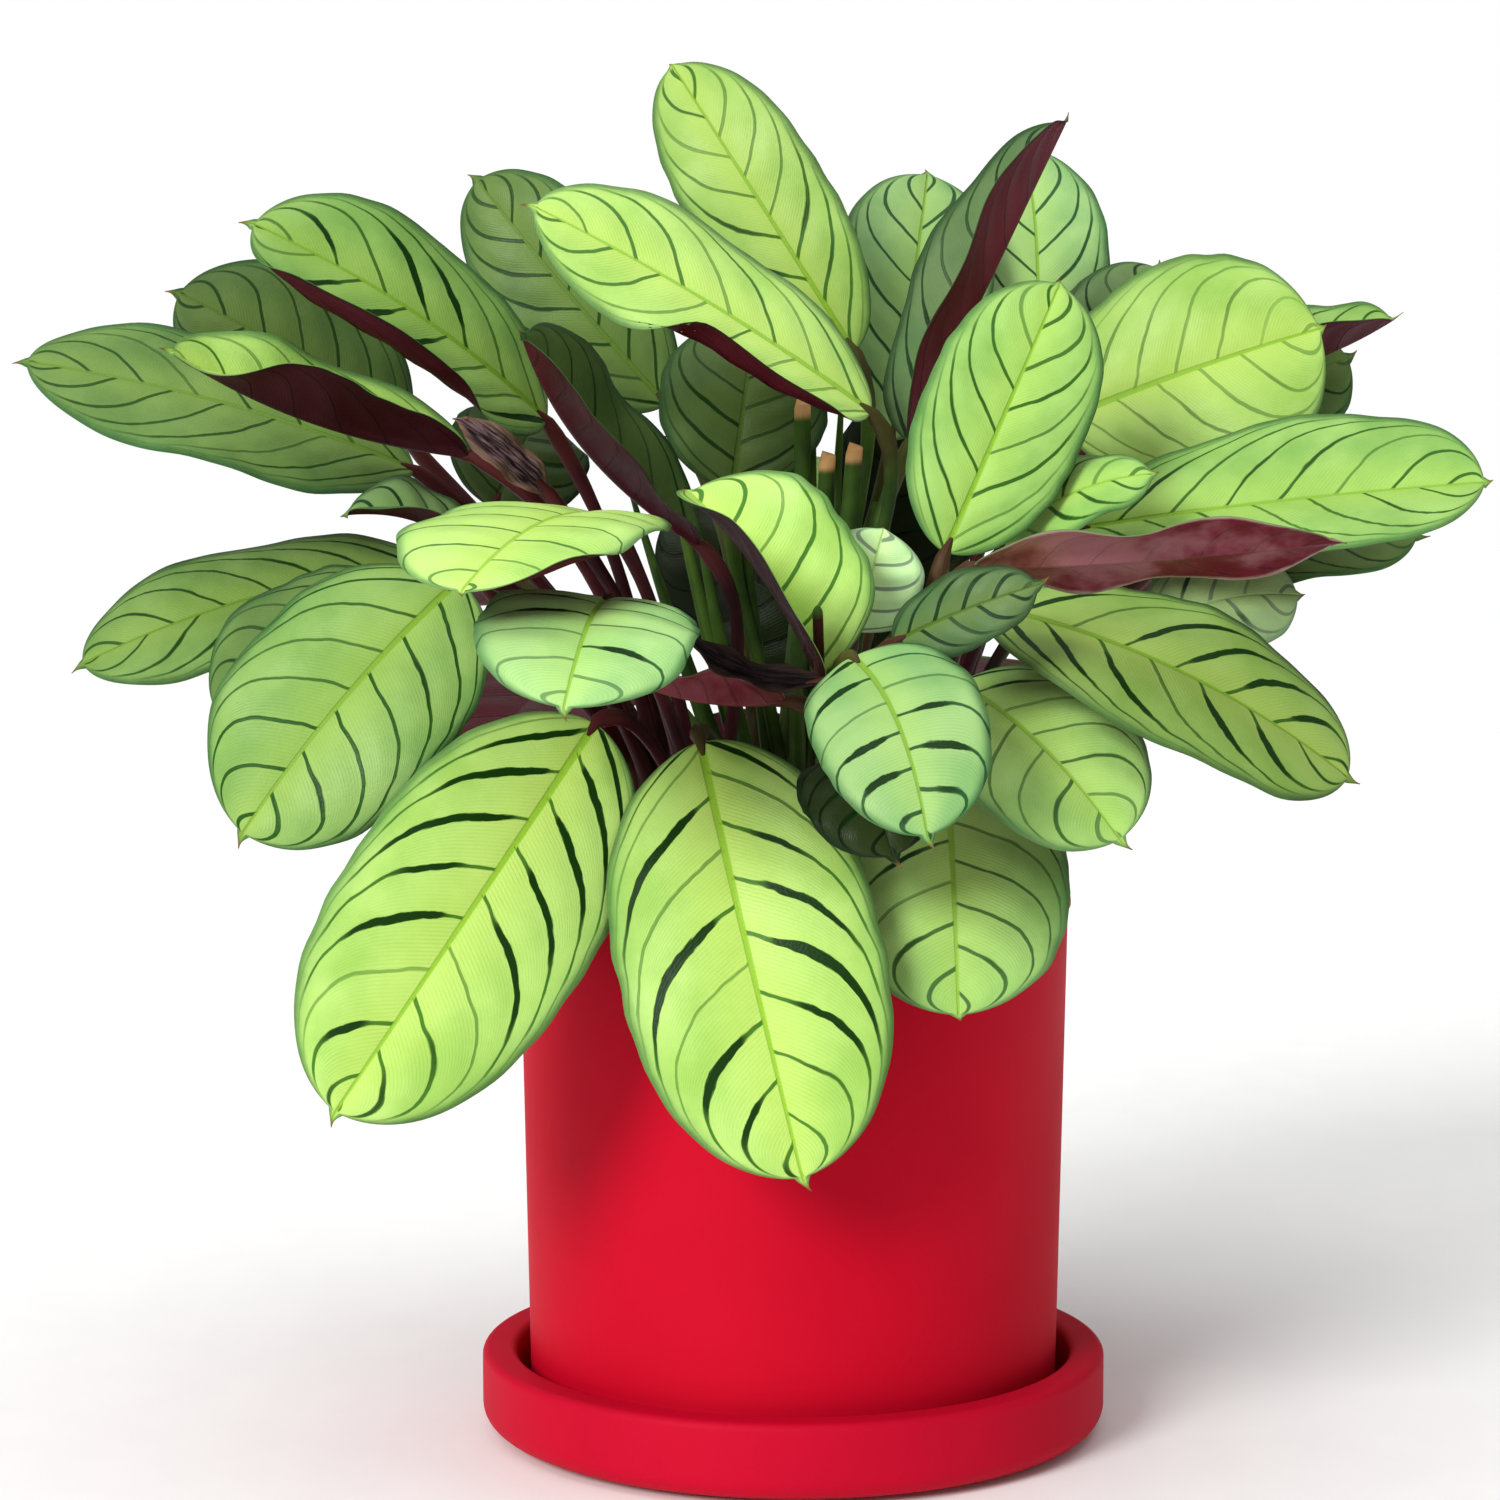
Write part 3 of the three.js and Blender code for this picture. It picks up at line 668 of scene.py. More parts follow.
@dataclass(frozen=True)
class LeafPattern:
    """The pattern of a blade: midrib, side veins, brush marks, fine veins, edge band, blotches and tip.

    Lengths are millimetres, and a pair is where a soft step starts and ends, unless its comment says
    otherwise.
    """

    # Side veins: how far they waver, in veins, and how soft their two flanks are
    waver: float = 0.22
    waver_scale: float = 0.09
    flanks: Pair = (-0.1, 0.13)
    # The least of a vein's width and how much more chance gives it, how slim it gets towards the edge, and
    # how pale chance makes it
    vein_width: Pair = (0.8, 0.4)
    slim_from: Pair = (0.5, 1.0)
    slim: float = 0.6
    pale_chance: float = 0.4
    pale: float = 0.62
    # Brush marks: which veins have one, where along the vein it swells and fades, with what chance adds, and
    # its size, the least and what chance adds
    chosen: Pair = (0.18, 0.5)
    begin_chance: float = 0.1
    swell: float = 0.34
    end: Pair = (0.4, 0.2)
    fade: float = 0.42
    size: Pair = (0.3, 0.7)
    tip_fade: Pair = (0.74, 0.94)
    tip_size: float = 0.3
    # The frayed flanks of a mark: how fine and how deep the fraying is, and how broad a mark must be to show
    fray_scale: Pair = (2.2, 9.0)
    fray: float = 0.95
    mark_flanks: Pair = (-0.16, 0.14)
    mark_shows: Pair = (0.05, 0.3)
    # Veins closer than this fade out
    crowded: Pair = (0.8, 3.2)
    fine_crowded: Pair = (2.0, 7.0)
    # The flanks of the midrib
    rib_flanks: Pair = (-0.25, 0.2)
    # Fine veins, in some patches plainer than in others
    fine_line: Pair = (0.2, 0.5)
    fine_patch_scale: float = 0.12
    fine_patches: Pair = (0.25, 0.75)
    fine_least: float = 0.35
    # The edge band: where it starts to fade inwards, how uneven it is, and how far out it shows
    band_start: float = 0.1
    band_uneven: float = 1.2
    band_scale: float = 0.2
    band_reach: Pair = (0.3, 0.6)
    # Blotches, and where the brown of the tip starts and is full, as shares of the length
    blotch_scale: float = 0.045
    tip: Pair = (1.02, 1.05)
    # Heights of the relief, as shares of its depth
    grain_scale: float = 1.4
    grain_height: float = 0.25
    vein_height: float = 0.45
    line_height: float = 0.1
    rib_height: float = 0.5

    def build(self) -> bpy.types.NodeTree:
        """Makes the shared node group."""
        inputs = {"Vein width": 0.3, "Brush": 1.0, "Fine veins": 13.0, "Edge band": 2.4}
        outputs = ("Veins", "Marks", "Midrib", "Fine veins", "Edge", "Blotches", "Tip", "Height")
        effect = Effect("Leaf pattern", inputs, outputs)
        graph = effect.graph
        phase, reach = graph.layer("veins")
        along, across = graph.layer("place")
        pitch, share = graph.layer("size")
        middle, _ = graph.layer("rib")
        _, seed = graph.layer("own")
        at = graph.join(along, across, seed)
        off = graph.math("ABSOLUTE", across)

        veins, marks = self.side_veins(effect, at, phase, reach, pitch, share)
        midrib = graph.span(graph.minus(off, middle), *self.rib_flanks, 1.0, 0.0)
        part = graph.math("FRACT", graph.times(phase, effect.given["Fine veins"]))
        fine = graph.span(graph.from_middle(part), *self.fine_line)
        patches = graph.noise(at, self.fine_patch_scale, 2.0)
        lines = graph.times(fine, graph.span(patches, *self.fine_patches, self.fine_least, 1.0))

        inside = graph.minus(graph.math("DIVIDE", off, graph.math("MAXIMUM", reach, TINY)), off)
        uneven = graph.scaled(graph.noise(at, self.band_scale), self.band_uneven, -self.band_uneven / 2)
        band = graph.span(graph.plus(inside, uneven), self.band_start, effect.given["Edge band"], 1.0, 0.0)

        grain = graph.times(graph.noise(at, self.grain_scale, 2.0), self.grain_height)
        raised = graph.minus(grain, graph.times(veins, self.vein_height))
        raised = graph.minus(raised, graph.times(lines, self.line_height))
        effect.give(
            Veins=veins,
            Marks=marks,
            Midrib=midrib,
            Fine_veins=graph.times(lines, graph.span(pitch, *self.fine_crowded)),
            Edge=graph.times(band, graph.span(reach, *self.band_reach)),
            Blotches=graph.noise(at, self.blotch_scale, 4.0, 0.55),
            Tip=graph.span(share, *self.tip),
            Height=graph.minus(raised, graph.times(midrib, self.rib_height)),
        )
        return effect.group

    def side_veins(
        self, effect: Effect, at: Socket, phase: Socket, reach: Socket, pitch: Socket, share: Socket
    ) -> tuple[Socket, Socket]:
        """The side veins and the brush marks on some of them.

        Args:
            effect: The group being made.
            at: The place on the blade.
            phase: The count of side veins.
            reach: The share of the half width.
            pitch: The millimetres from one side vein to the next.
            share: The share of the blade's length.

        Returns:
            How much of a point is vein or mark, and how much is mark.
        """
        graph, given = effect.graph, effect.given
        brush, _ = graph.layer("own")
        _, veined = graph.layer("rib")
        waver = graph.times(graph.minus(graph.noise(at, self.waver_scale, 2.0), 0.5), self.waver)
        turn = graph.plus(phase, waver)
        number = graph.math("FLOOR", turn)
        away = graph.times(graph.from_middle(graph.minus(turn, number)), pitch)
        first, second, third = graph.chances(number)

        begins = graph.times(second, self.begin_chance)
        ends = graph.scaled(third, self.end[1], self.end[0])
        rise = graph.span(reach, begins, graph.plus(begins, self.swell))
        fall = graph.span(reach, ends, graph.plus(ends, self.fade), 1.0, 0.0)
        size = graph.times(graph.scaled(first, self.size[1], self.size[0]), graph.span(first, *self.chosen))
        broad = graph.times(rise, fall, size, brush, given["Brush"])
        broad = graph.times(broad, graph.span(share, *self.tip_fade, 1.0, self.tip_size))

        line = graph.times(given["Vein width"], graph.scaled(second, self.vein_width[1], self.vein_width[0]))
        line = graph.times(line, graph.span(reach, *self.slim_from, 1.0, self.slim))
        thin = graph.span(graph.minus(away, line), *self.flanks, 1.0, 0.0)
        thin = graph.times(thin, veined, graph.span(first, 0.0, self.pale_chance, self.pale, 1.0))

        half = graph.plus(line, broad)
        sideways, outwards = self.fray_scale
        streak = graph.join(graph.times(away, sideways), graph.times(reach, outwards), number)
        ragged = graph.minus(graph.noise(streak, 1.0, 3.0, 0.6), 0.5)
        frayed = graph.scaled(ragged, graph.times(half, self.fray), away)
        mark = graph.span(graph.minus(frayed, half), *self.mark_flanks, 1.0, 0.0)
        mark = graph.times(mark, graph.span(broad, *self.mark_shows))
        apart = graph.span(pitch, *self.crowded)
        return graph.times(graph.math("MAXIMUM", thin, mark), apart), graph.times(mark, apart)


def mottle() -> bpy.types.NodeTree:
    """Uneven colour and a fine surface: cloudy patches, small specks and the height of a grain."""
    effect = Effect("Mottle", {"Patch scale": 20.0, "Grain scale": 900.0}, ("Patches", "Specks", "Height"))
    graph, given = effect.graph, effect.given
    at = graph.place()
    patches = graph.span(graph.noise(at, given["Patch scale"], 4.0), 0.25, 0.75)
    grain = graph.noise(at, given["Grain scale"], 3.0, 0.6)
    effect.give(Patches=patches, Specks=graph.span(grain, 0.58, 0.72), Height=grain)
    return effect.group


@dataclass(frozen=True)
class Finish:
    """What every finish shares: a material with one surface shader and a bump.

    specular is the level of its shine, and relief the depth of its bump in millimetres.
    """

    name: str
    specular: float
    relief: float

    def start(self) -> tuple[bpy.types.Material, Graph, bpy.types.Node]:
        """Makes an empty material, and returns it with its graph and its surface shader."""
        material = bpy.data.materials.new(self.name)
        material.use_nodes = True
        material.node_tree.nodes.clear()
        graph = Graph(material.node_tree)
        shader = graph.node("ShaderNodeBsdfPrincipled")
        shader.inputs["Specular IOR Level"].default_value = self.specular
        output = graph.node("ShaderNodeOutputMaterial")
        graph.feed(output.inputs["Surface"], shader.outputs[0])
        return material, graph, shader

    def surface(
        self, graph: Graph, shader: bpy.types.Node, colour: Socket, rough: Socket, height: Socket
    ) -> None:
        """Gives the shader its colour, its roughness and a relief.

        Args:
            graph: The material's graph.
            shader: The surface shader.
            colour: The base colour.
            rough: The roughness.
            height: The height of the relief, from 0 to 1.
        """
        bump = graph.node("ShaderNodeBump")
        bump.inputs["Distance"].default_value = self.relief * MM
        bump.inputs["Strength"].default_value = 1.0
        graph.fill(bump, Height=height)
        graph.fill(shader, Base_Color=colour, Roughness=rough, Normal=bump.outputs[0])


@dataclass(frozen=True)
class LeafFinish(Finish):
    """The living upper side of a blade: pale, yellower along the midrib, with dark veins, marks and edge."""

    specular: float = 0.12
    relief: float = 0.3
    field: str = "#a0ca6b"
    shade: str = "#84b457"
    heart: str = "#b2d75c"
    heart_share: float = 0.4
    rib: str = "#88b634"
    vein: str = "#265c10"
    mark: str = "#0a2e02"
    margin_and_shade: str = "#4f8f52"
    edge: str = "#2b6236"
    groove: str = "#5f8f45"
    pale_and_lit: str = "#f4f8e6"
    tip: str = "#7d6238"
    blotches: Pair = (0.35, 0.68)
    heart_reach: Pair = (0.05, 0.6)
    fine_share: float = 0.15
    margin_and_shade_reach: Pair = (0.76, 1.0)
    margin_and_shade_share: float = 0.34
    edge_share: float = 0.6
    vein_share: float = 0.95
    pale_and_lit_from: Pair = (1.0, 1.5)
    pale_and_lit_share: float = 0.22
    rough: Pair = (0.31, 0.44)

    def material(self, pattern: bpy.types.NodeTree) -> bpy.types.Material:
        """The material, with the shared leaf pattern in it."""
        material, graph, shader = self.start()
        marks = graph.effect(pattern, Vein_width=0.37, Brush=1.0, Edge_band=2.8)
        _, reach = graph.layer("veins")
        light, _ = graph.layer("light")
        shaded = graph.span(marks["Blotches"], *self.blotches)
        colour = graph.mix(shaded, linear(self.field), linear(self.shade))
        near = graph.span(reach, *self.heart_reach, self.heart_share, 0.0)
        colour = graph.mix(near, colour, linear(self.heart))
        fine = graph.times(marks["Fine veins"], self.fine_share)
        colour = graph.mix(fine, colour, linear(self.groove), "MULTIPLY")
        # Darker towards the edge over the outer quarter: partly the blade's own darker margin and partly
        # painted shade where the blade curves away.
        far = graph.span(reach, *self.margin_and_shade_reach, 0.0, self.margin_and_shade_share)
        colour = graph.mix(far, colour, linear(self.margin_and_shade))
        colour = graph.mix(graph.times(marks["Edge"], self.edge_share), colour, linear(self.edge))
        colour = graph.mix(graph.times(marks["Veins"], self.vein_share), colour, linear(self.vein))
        # The blade's light makes it darker or paler: partly its own tone and partly painted shade and painted
        # light.
        colour = graph.lit(graph.mix(marks["Midrib"], colour, linear(self.rib)), light)
        # Past a light of 1 a near white is mixed in: partly a paler tone and partly painted light.
        pale = graph.span(light, *self.pale_and_lit_from, 0.0, self.pale_and_lit_share)
        colour = graph.mix(pale, colour, linear(self.pale_and_lit))
        colour = graph.mix(graph.times(marks["Marks"], self.vein_share), colour, linear(self.mark))
        colour = graph.mix(marks["Tip"], colour, linear(self.tip))
        rough = graph.span(marks["Blotches"], *NOISE_RANGE, *self.rough)
        self.surface(graph, shader, colour, rough, marks["Height"])
        return material


@dataclass(frozen=True)
class UndersideFinish(Finish):
    """The maroon underside of a blade, with raised veins and a thin browner edge.

    Where a blade's light, partly its own tone and partly painted light, is past ageing, it is old: worn in
    patches, dried at its base, with a pale rim.
    """

    name: str = "maroon underside"
    specular: float = 0.1
    relief: float = 0.35
    field: str = "#4c0c18"
    bloom: str = "#67212f"
    vein: str = "#300a14"
    rib: str = "#5a2028"
    edge: str = "#3d241c"
    worn: str = "#8f6468"
    dried: str = "#7e5c3c"
    rim: str = "#a98a80"
    blotches: Pair = (0.35, 0.72)
    fine_share: float = 0.35
    vein_share: float = 0.5
    rib_share: float = 0.8
    ageing: Pair = (1.25, 1.4)
    worn_patches: Pair = (0.44, 0.6)
    worn_share: float = 0.6
    dried_base: Pair = (0.06, 0.34)
    dried_patches: Pair = (0.36, 0.56)
    dried_share: float = 0.8
    rough: Pair = (0.42, 0.58)

    def material(self, pattern: bpy.types.NodeTree) -> bpy.types.Material:
        """The material, with the shared leaf pattern in it."""
        material, graph, shader = self.start()
        marks = graph.effect(pattern, Vein_width=0.25, Brush=0.0, Edge_band=1.2)
        _, light = graph.layer("light")
        _, share = graph.layer("size")
        blotches = marks["Blotches"]
        bloom = graph.span(blotches, *self.blotches)
        colour = graph.mix(bloom, linear(self.field), linear(self.bloom))
        colour = graph.mix(graph.times(marks["Fine veins"], self.fine_share), colour, linear(self.vein))
        colour = graph.mix(graph.times(marks["Veins"], self.vein_share), colour, linear(self.vein))
        colour = graph.mix(graph.times(marks["Midrib"], self.rib_share), colour, linear(self.rib))
        # The blade's light makes the underside darker or paler: partly its own tone and partly painted shade
        # and painted light.
        colour = graph.lit(graph.mix(marks["Edge"], colour, linear(self.edge)), light)
        old = graph.span(light, *self.ageing)
        worn = graph.span(blotches, *self.worn_patches, 0.0, self.worn_share)
        colour = graph.mix(graph.times(old, worn), colour, linear(self.worn))
        base = graph.span(share, *self.dried_base, self.dried_share, 0.0)
        dried = graph.times(old, base, graph.span(blotches, *self.dried_patches))
        colour = graph.mix(dried, colour, linear(self.dried))
        colour = graph.mix(graph.times(old, marks["Edge"]), colour, linear(self.rim))
        rough = graph.span(blotches, *NOISE_RANGE, *self.rough)
        self.surface(graph, shader, colour, rough, graph.minus(0.0, marks["Height"]))
        return material


@dataclass(frozen=True)
class DryFinish(Finish):
    """A dried bract: papery purple-brown with paler streaks along it."""

    name: str = "dried bract"
    specular: float = 0.1
    relief: float = 0.5
    dark: str = "#1e1018"
    pale: str = "#806468"
    edge: str = "#9c7a62"
    edge_share: float = 0.5
    streak_scale: Pair = (0.12, 1.6)
    streaks: Pair = (0.42, 0.64)
    rough: Pair = (0.6, 0.8)

    def material(self, pattern: bpy.types.NodeTree) -> bpy.types.Material:
        """The material, with the shared leaf pattern in it."""
        material, graph, shader = self.start()
        marks = graph.effect(pattern, Brush=0.0)
        light, _ = graph.layer("light")
        along, across = graph.layer("place")
        long, narrow = self.streak_scale
        at = graph.join(graph.times(along, long), graph.times(across, narrow), 0.0)
        streaks = graph.noise(at, 1.0, 4.0, 0.65)
        colour = graph.mix(graph.span(streaks, *self.streaks), linear(self.dark), linear(self.pale))
        colour = graph.mix(graph.times(marks["Edge"], self.edge_share), colour, linear(self.edge))
        rough = graph.span(streaks, *NOISE_RANGE, *self.rough)
        # The bract's light darkens it: for dry_centre this is mostly painted shade.
        self.surface(graph, shader, graph.lit(colour, light), rough, streaks)
        return material


@dataclass(frozen=True)
class StalkFinish(Finish):
    """The skin of the stalks and crowns, from maroon to green, with tan cut ends and streaky sheaths."""

    name: str = "stalks"
    specular: float = 0.12
    relief: float = 0.25
    maroon: str = "#24090d"
    wine: str = "#47181a"
    green: str = "#47661f"
    moss: str = "#1c3413"
    tan: str = "#c99a62"
    joint: str = "#5c2c26"
    sheath: str = "#3b2618"
    streak_scale: Pair = (14.0, 5.0)
    ripening: float = 0.5
    green_from: Pair = (0.25, 0.75)
    sheath_top: Pair = (0.3, 0.45)
    sheath_share: float = 0.75
    sheath_streaks: Pair = (0.3, 0.65)
    sheath_least: float = 0.4
    joint_from: Pair = (0.84, 0.95)
    joint_share: float = 0.35
    dried_from: Pair = (0.3, 0.7)
    rough: Pair = (0.35, 0.6)

    def material(self, surface: bpy.types.NodeTree) -> bpy.types.Material:
        """The material, with the shared mottle in it."""
        material, graph, shader = self.start()
        marks = graph.effect(surface, Patch_scale=60.0, Grain_scale=1400.0)
        tone, share = graph.layer("stalk")
        dried, turn = graph.layer("skin")
        narrow, long = self.streak_scale
        at = graph.join(graph.times(turn, narrow), graph.times(share, long), tone)
        streaks = graph.noise(at, 1.0, 3.0, 0.6)
        red = graph.mix(marks["Patches"], linear(self.maroon), linear(self.wine))
        leafy = graph.mix(marks["Patches"], linear(self.moss), linear(self.green))
        ripe = graph.plus(tone, graph.scaled(streaks, self.ripening, -self.ripening / 2))
        colour = graph.mix(graph.span(ripe, *self.green_from), red, leafy)
        low = graph.span(share, *self.sheath_top, self.sheath_share, 0.0)
        low = graph.times(low, graph.span(streaks, *self.sheath_streaks, self.sheath_least, 1.0))
        colour = graph.mix(low, colour, linear(self.sheath))
        high = graph.span(share, *self.joint_from, 0.0, self.joint_share)
        colour = graph.mix(high, colour, linear(self.joint))
        colour = graph.mix(graph.span(dried, *self.dried_from), colour, linear(self.tan))
        rough = graph.span(streaks, *NOISE_RANGE, *self.rough)
        self.surface(graph, shader, colour, rough, streaks)
        return material


@dataclass(frozen=True)
class CeramicFinish(Finish):
    """The smooth matt red of the pot and saucer, with faint clouds and a fine skin."""

    specular: float = 0.08
    relief: float = 0.03
    body: str = "#c50324"
    cloud: str = "#bb0221"
    speck: str = "#7d0a1c"
    speck_share: float = 0.06
    rough: Pair = (0.58, 0.66)

    def material(self, surface: bpy.types.NodeTree) -> bpy.types.Material:
        """The material, with the shared mottle in it."""
        material, graph, shader = self.start()
        marks = graph.effect(surface, Patch_scale=14.0, Grain_scale=1600.0)
        colour = graph.mix(marks["Patches"], linear(self.body), linear(self.cloud))
        colour = graph.mix(graph.times(marks["Specks"], self.speck_share), colour, linear(self.speck))
        rough = graph.span(marks["Patches"], 0.0, 1.0, *self.rough)
        self.surface(graph, shader, colour, rough, marks["Height"])
        return material


@dataclass(frozen=True)
class GroundFinish(Finish):
    """Soil, bark, grit or the studio floor: two tones in patches, with a grain."""

    specular: float = 0.5
    relief: float = 0.2
    dark: str = "#17100b"
    pale: str = "#3d2a1d"
    patch_scale: float = 200.0
    grain_scale: float = 1500.0
    tones: Pair = (0.5, 1.6)
    rough: Pair = (0.77, 0.85)

    def material(self, surface: bpy.types.NodeTree) -> bpy.types.Material:
        """The material, with the shared mottle in it."""
        material, graph, shader = self.start()
        marks = graph.effect(surface, Patch_scale=self.patch_scale, Grain_scale=self.grain_scale)
        share = graph.span(graph.plus(marks["Patches"], marks["Height"]), *self.tones)
        colour = graph.mix(share, linear(self.dark), linear(self.pale))
        rough = graph.span(marks["Height"], *NOISE_RANGE, *self.rough)
        self.surface(graph, shader, colour, rough, marks["Height"])
        return material


UPPER_FINISHES: dict[Tint, Finish] = {
    Tint.LIME: LeafFinish(
        "lime leaf", field="#b6dd74", shade="#a0cc5e", heart="#c5e368", heart_share=0.5, rib="#92c236",
        vein="#377018",
    ),
    Tint.GREEN: LeafFinish("green leaf"),
    # The deep finish's duller, darker greens are partly painted shade.
    Tint.DEEP: LeafFinish(
        "deep and shaded leaf", field="#7c9e52", shade="#668a46", heart="#8fae4e", heart_share=0.35, rib="#729a3a",
        vein="#265018",
    ),
    Tint.SILVER: LeafFinish(
        "silver leaf", field="#a8d282", shade="#8cc074", heart="#b9e078", heart_share=0.5, rib="#8ab83c",
        vein="#1a5226",
    ),
    Tint.DRY: DryFinish(),
}
POT_RED = CeramicFinish("pot red")
# The saucer's red is a touch darker than the pot's: painted shade that keeps it from looking brighter where
# it catches more light from above and in front.
SAUCER_SHADED_RED = CeramicFinish("saucer shaded red", body="#c0052a", cloud="#b60426")
EARTH = GroundFinish("soil", relief=0.6, patch_scale=160.0, grain_scale=900.0, rough=(0.87, 0.95))
BARK = GroundFinish("bark", relief=0.3, dark="#2e1a10", pale="#6b452a", grain_scale=1200.0)
GRIT = GroundFinish("white grit", dark="#b9b4a8", pale="#e6e2d8")
FLOOR = GroundFinish(
    "studio floor", relief=0.01, dark="#fafaf9", pale="#fdfdfc", patch_scale=3.0, grain_scale=60.0,
    rough=(0.62, 0.7),
)


@dataclass(frozen=True)
class Axis:
    """A blade's midrib: the place of each of its points, and the directions along, across and up from it."""

    place: np.ndarray
    forward: np.ndarray
    across: np.ndarray
    out: np.ndarray


@dataclass(frozen=True)
class Sheet:
    """A blade's middle surface: a grid of points, with a row for each share of the blade's length.

    places are where the points of a row are, from -1 at the right edge to 1 at the left one, and half_widths
    are the half widths of the rows.
    """

    points: np.ndarray
    normals: np.ndarray
    shares: np.ndarray
    places: np.ndarray
    half_widths: np.ndarray


@dataclass
class Blade:
    """One leaf blade as a fine mesh, in the form that its solid has."""

    name: str
    leaf: Leaf
    number: int
    # Rows of points along the blade, points from the midrib to an edge, and how they crowd at the midrib
    steps: int = 60
    half_steps: int = 14
    crowding: float = 1.2
    # The skin in the middle and at the edge, the rib under it and the groove over it, how wide both spread
    # and where they end
    thickness: float = 0.55
    edge_thickness: float = 0.2
    rib_depth: float = 0.9
    groove_depth: float = 0.3
    rib_spread: float = 1.5
    rib_end: float = 1.05
    # How far the skin swells between side veins, how deep the edge waves, and how deep it is nicked as a
    # share of the width
    quilt: float = 0.28
    wave: float = 0.35
    nick: float = 0.005
    ripples: int = 2
    wave_counts: Pair = (1.5, 3.6)
    nick_counts: Pair = (4, 9)
    # The outline, and the least half width at the stalk and at the spur
    base_roundness: float = 2.2
    tip_roundness: float = 2.8
    outline_power: float = 0.55
    stalk_half_width: float = 1.3
    spur_half_width: float = 1.8
    # How softly the edges start to curl, and where the fold starts to open, as shares of the length
    curl_softness: float = 0.12
    opens_from: float = 0.65
    # The spur: how far it leans aside, how much of its length is built, and how it thins out
    spur_steps: int = 6
    spur_lean: float = 0.33
    spur_share: float = 0.7
    spur_taper: float = 1.7
    spur_end: float = 0.15
    spur_map_share: float = 0.06
    spur_thinness: float = 0.35
    # Half the midrib's width: the least, what a millimetre of the blade's width adds, the loss to the tip
    rib_least: float = 0.25
    rib_growth: float = 0.0125
    rib_taper: float = 0.65
    # Side veins: the least number, the length that one more takes, how far they lean to the tip, and how
    # wide a blade is for its length where they lean in full
    least_veins: float = 3.5
    vein_spacing: float = 25.0
    vein_lean: float = 0.9
    leaning_width: float = 0.5
    # The run of a side vein to the tip as it gets out to the edge, as amounts of powers of the reach
    vein_bends: tuple[Pair, ...] = ((0.17, 1), (0.2, 4.7), (0.15, 14))
    # How far apart the counts of side veins of two blades and of two halves are, where they start, and how
    # far apart the patterns of two blades are
    blade_count_gap: float = 20.0
    half_count_gap: float = 10.5
    count_start: Pair = (0.2, 0.5)
    seed_gap: float = 7.0

    def length(self) -> float:
        """How long the blade is without its spur."""
        return math.dist(self.leaf.base, self.leaf.tip) - self.leaf.spur

    def axis(self, along_share: np.ndarray) -> Axis:
        """The midrib at places along the blade.

        Args:
            along_share: Shares of the blade's length, from 0 at the base to 1 at the tip.

        Returns:
            The midrib, with a point for each share.
        """
        leaf = self.leaf
        base = np.array(leaf.base, float)
        along = unit(np.array(leaf.tip) - base)
        up = np.array(leaf.face, float)
        up = unit(up - along * (up @ along))
        left = np.cross(up, along)
        share = along_share[:, None]
        # A parabola that is 1 half way along, and its slope
        bow = 4 * share * (1 - share)
        slope = 4 - 8 * share
        place = base + along * self.length() * share + up * leaf.arch * bow + left * leaf.sway * bow
        forward = unit(along * self.length() + up * leaf.arch * slope + left * leaf.sway * slope)
        across = unit(left - forward * (forward @ left)[:, None])
        return Axis(place, forward, across, np.cross(forward, across))

    def outline(self, along_share: np.ndarray) -> np.ndarray:
        """The blade's half width at shares of its length, as a share of its widest."""
        widest = self.leaf.widest
        to_base = np.clip((widest - along_share) / widest, 0, 1) ** self.base_roundness
        to_tip = np.clip((along_share - widest) / (1 - widest), 0, 1) ** self.tip_roundness
        lost = np.where(along_share < widest, to_base, to_tip)
        return np.clip(1 - lost, 0, 1) ** self.outline_power

    def half_width(self, along_share: np.ndarray) -> np.ndarray:
        """The blade's half width at shares of its length, never narrower than its stalk or spur."""
        narrowest = self.stalk_half_width + (self.spur_half_width - self.stalk_half_width) * along_share
        blade = self.leaf.width / 2 * self.outline(along_share)
        return (narrowest**3 + blade**3) ** (1 / 3)

    def rib_half_width(self, along_share: np.ndarray) -> np.ndarray:
        """Half the midrib's width at shares of the length: broader in a wider blade, slim at the tip."""
        broadest = self.rib_least + self.rib_growth * self.leaf.width
        return broadest * (1 - self.rib_taper * np.clip(along_share, 0, 1))

    def vein_count(self) -> float:
        """How many side veins each half has: more in a longer blade."""
        return self.least_veins + self.length() / self.vein_spacing

    def vein_lag(self, reach: np.ndarray) -> tuple[np.ndarray, np.ndarray]:
        """How far a side vein has run along the blade when it has got out to a share of the half width.

        Args:
            reach: The share of the half width, from 0 at the midrib to 1 at the edge.

        Returns:
            The share of the blade's length that it has run, and how fast that grows with reach.
        """
        breadth = min(self.leaf.width / self.length() / self.leaning_width, 1)
        spread = breadth * self.vein_lean * self.leaf.slant
        run = sum(amount * reach**power for amount, power in self.vein_bends)
        pace = sum(amount * power * reach ** (power - 1) for amount, power in self.vein_bends)
        return spread * run, spread * pace

    def phase(self, side: int, shares: np.ndarray, run: np.ndarray) -> np.ndarray:
        """The count of side veins at points of one half, different for each blade and side.

        Args:
            side: 1 for the left half and -1 for the right one.
            shares: Where the rows of points are along the blade.
            run: How far the vein at each point of a row has run, as a share of the blade's length.

        Returns:
            The counts, by row and place in the row.
        """
        rng = np.random.default_rng(SEED + self.number)
        start = self.blade_count_gap * self.number + rng.uniform(*self.count_start)
        start += self.half_count_gap if side > 0 else 0
        return (shares[:, None] - run[None, :]) * self.vein_count() + start

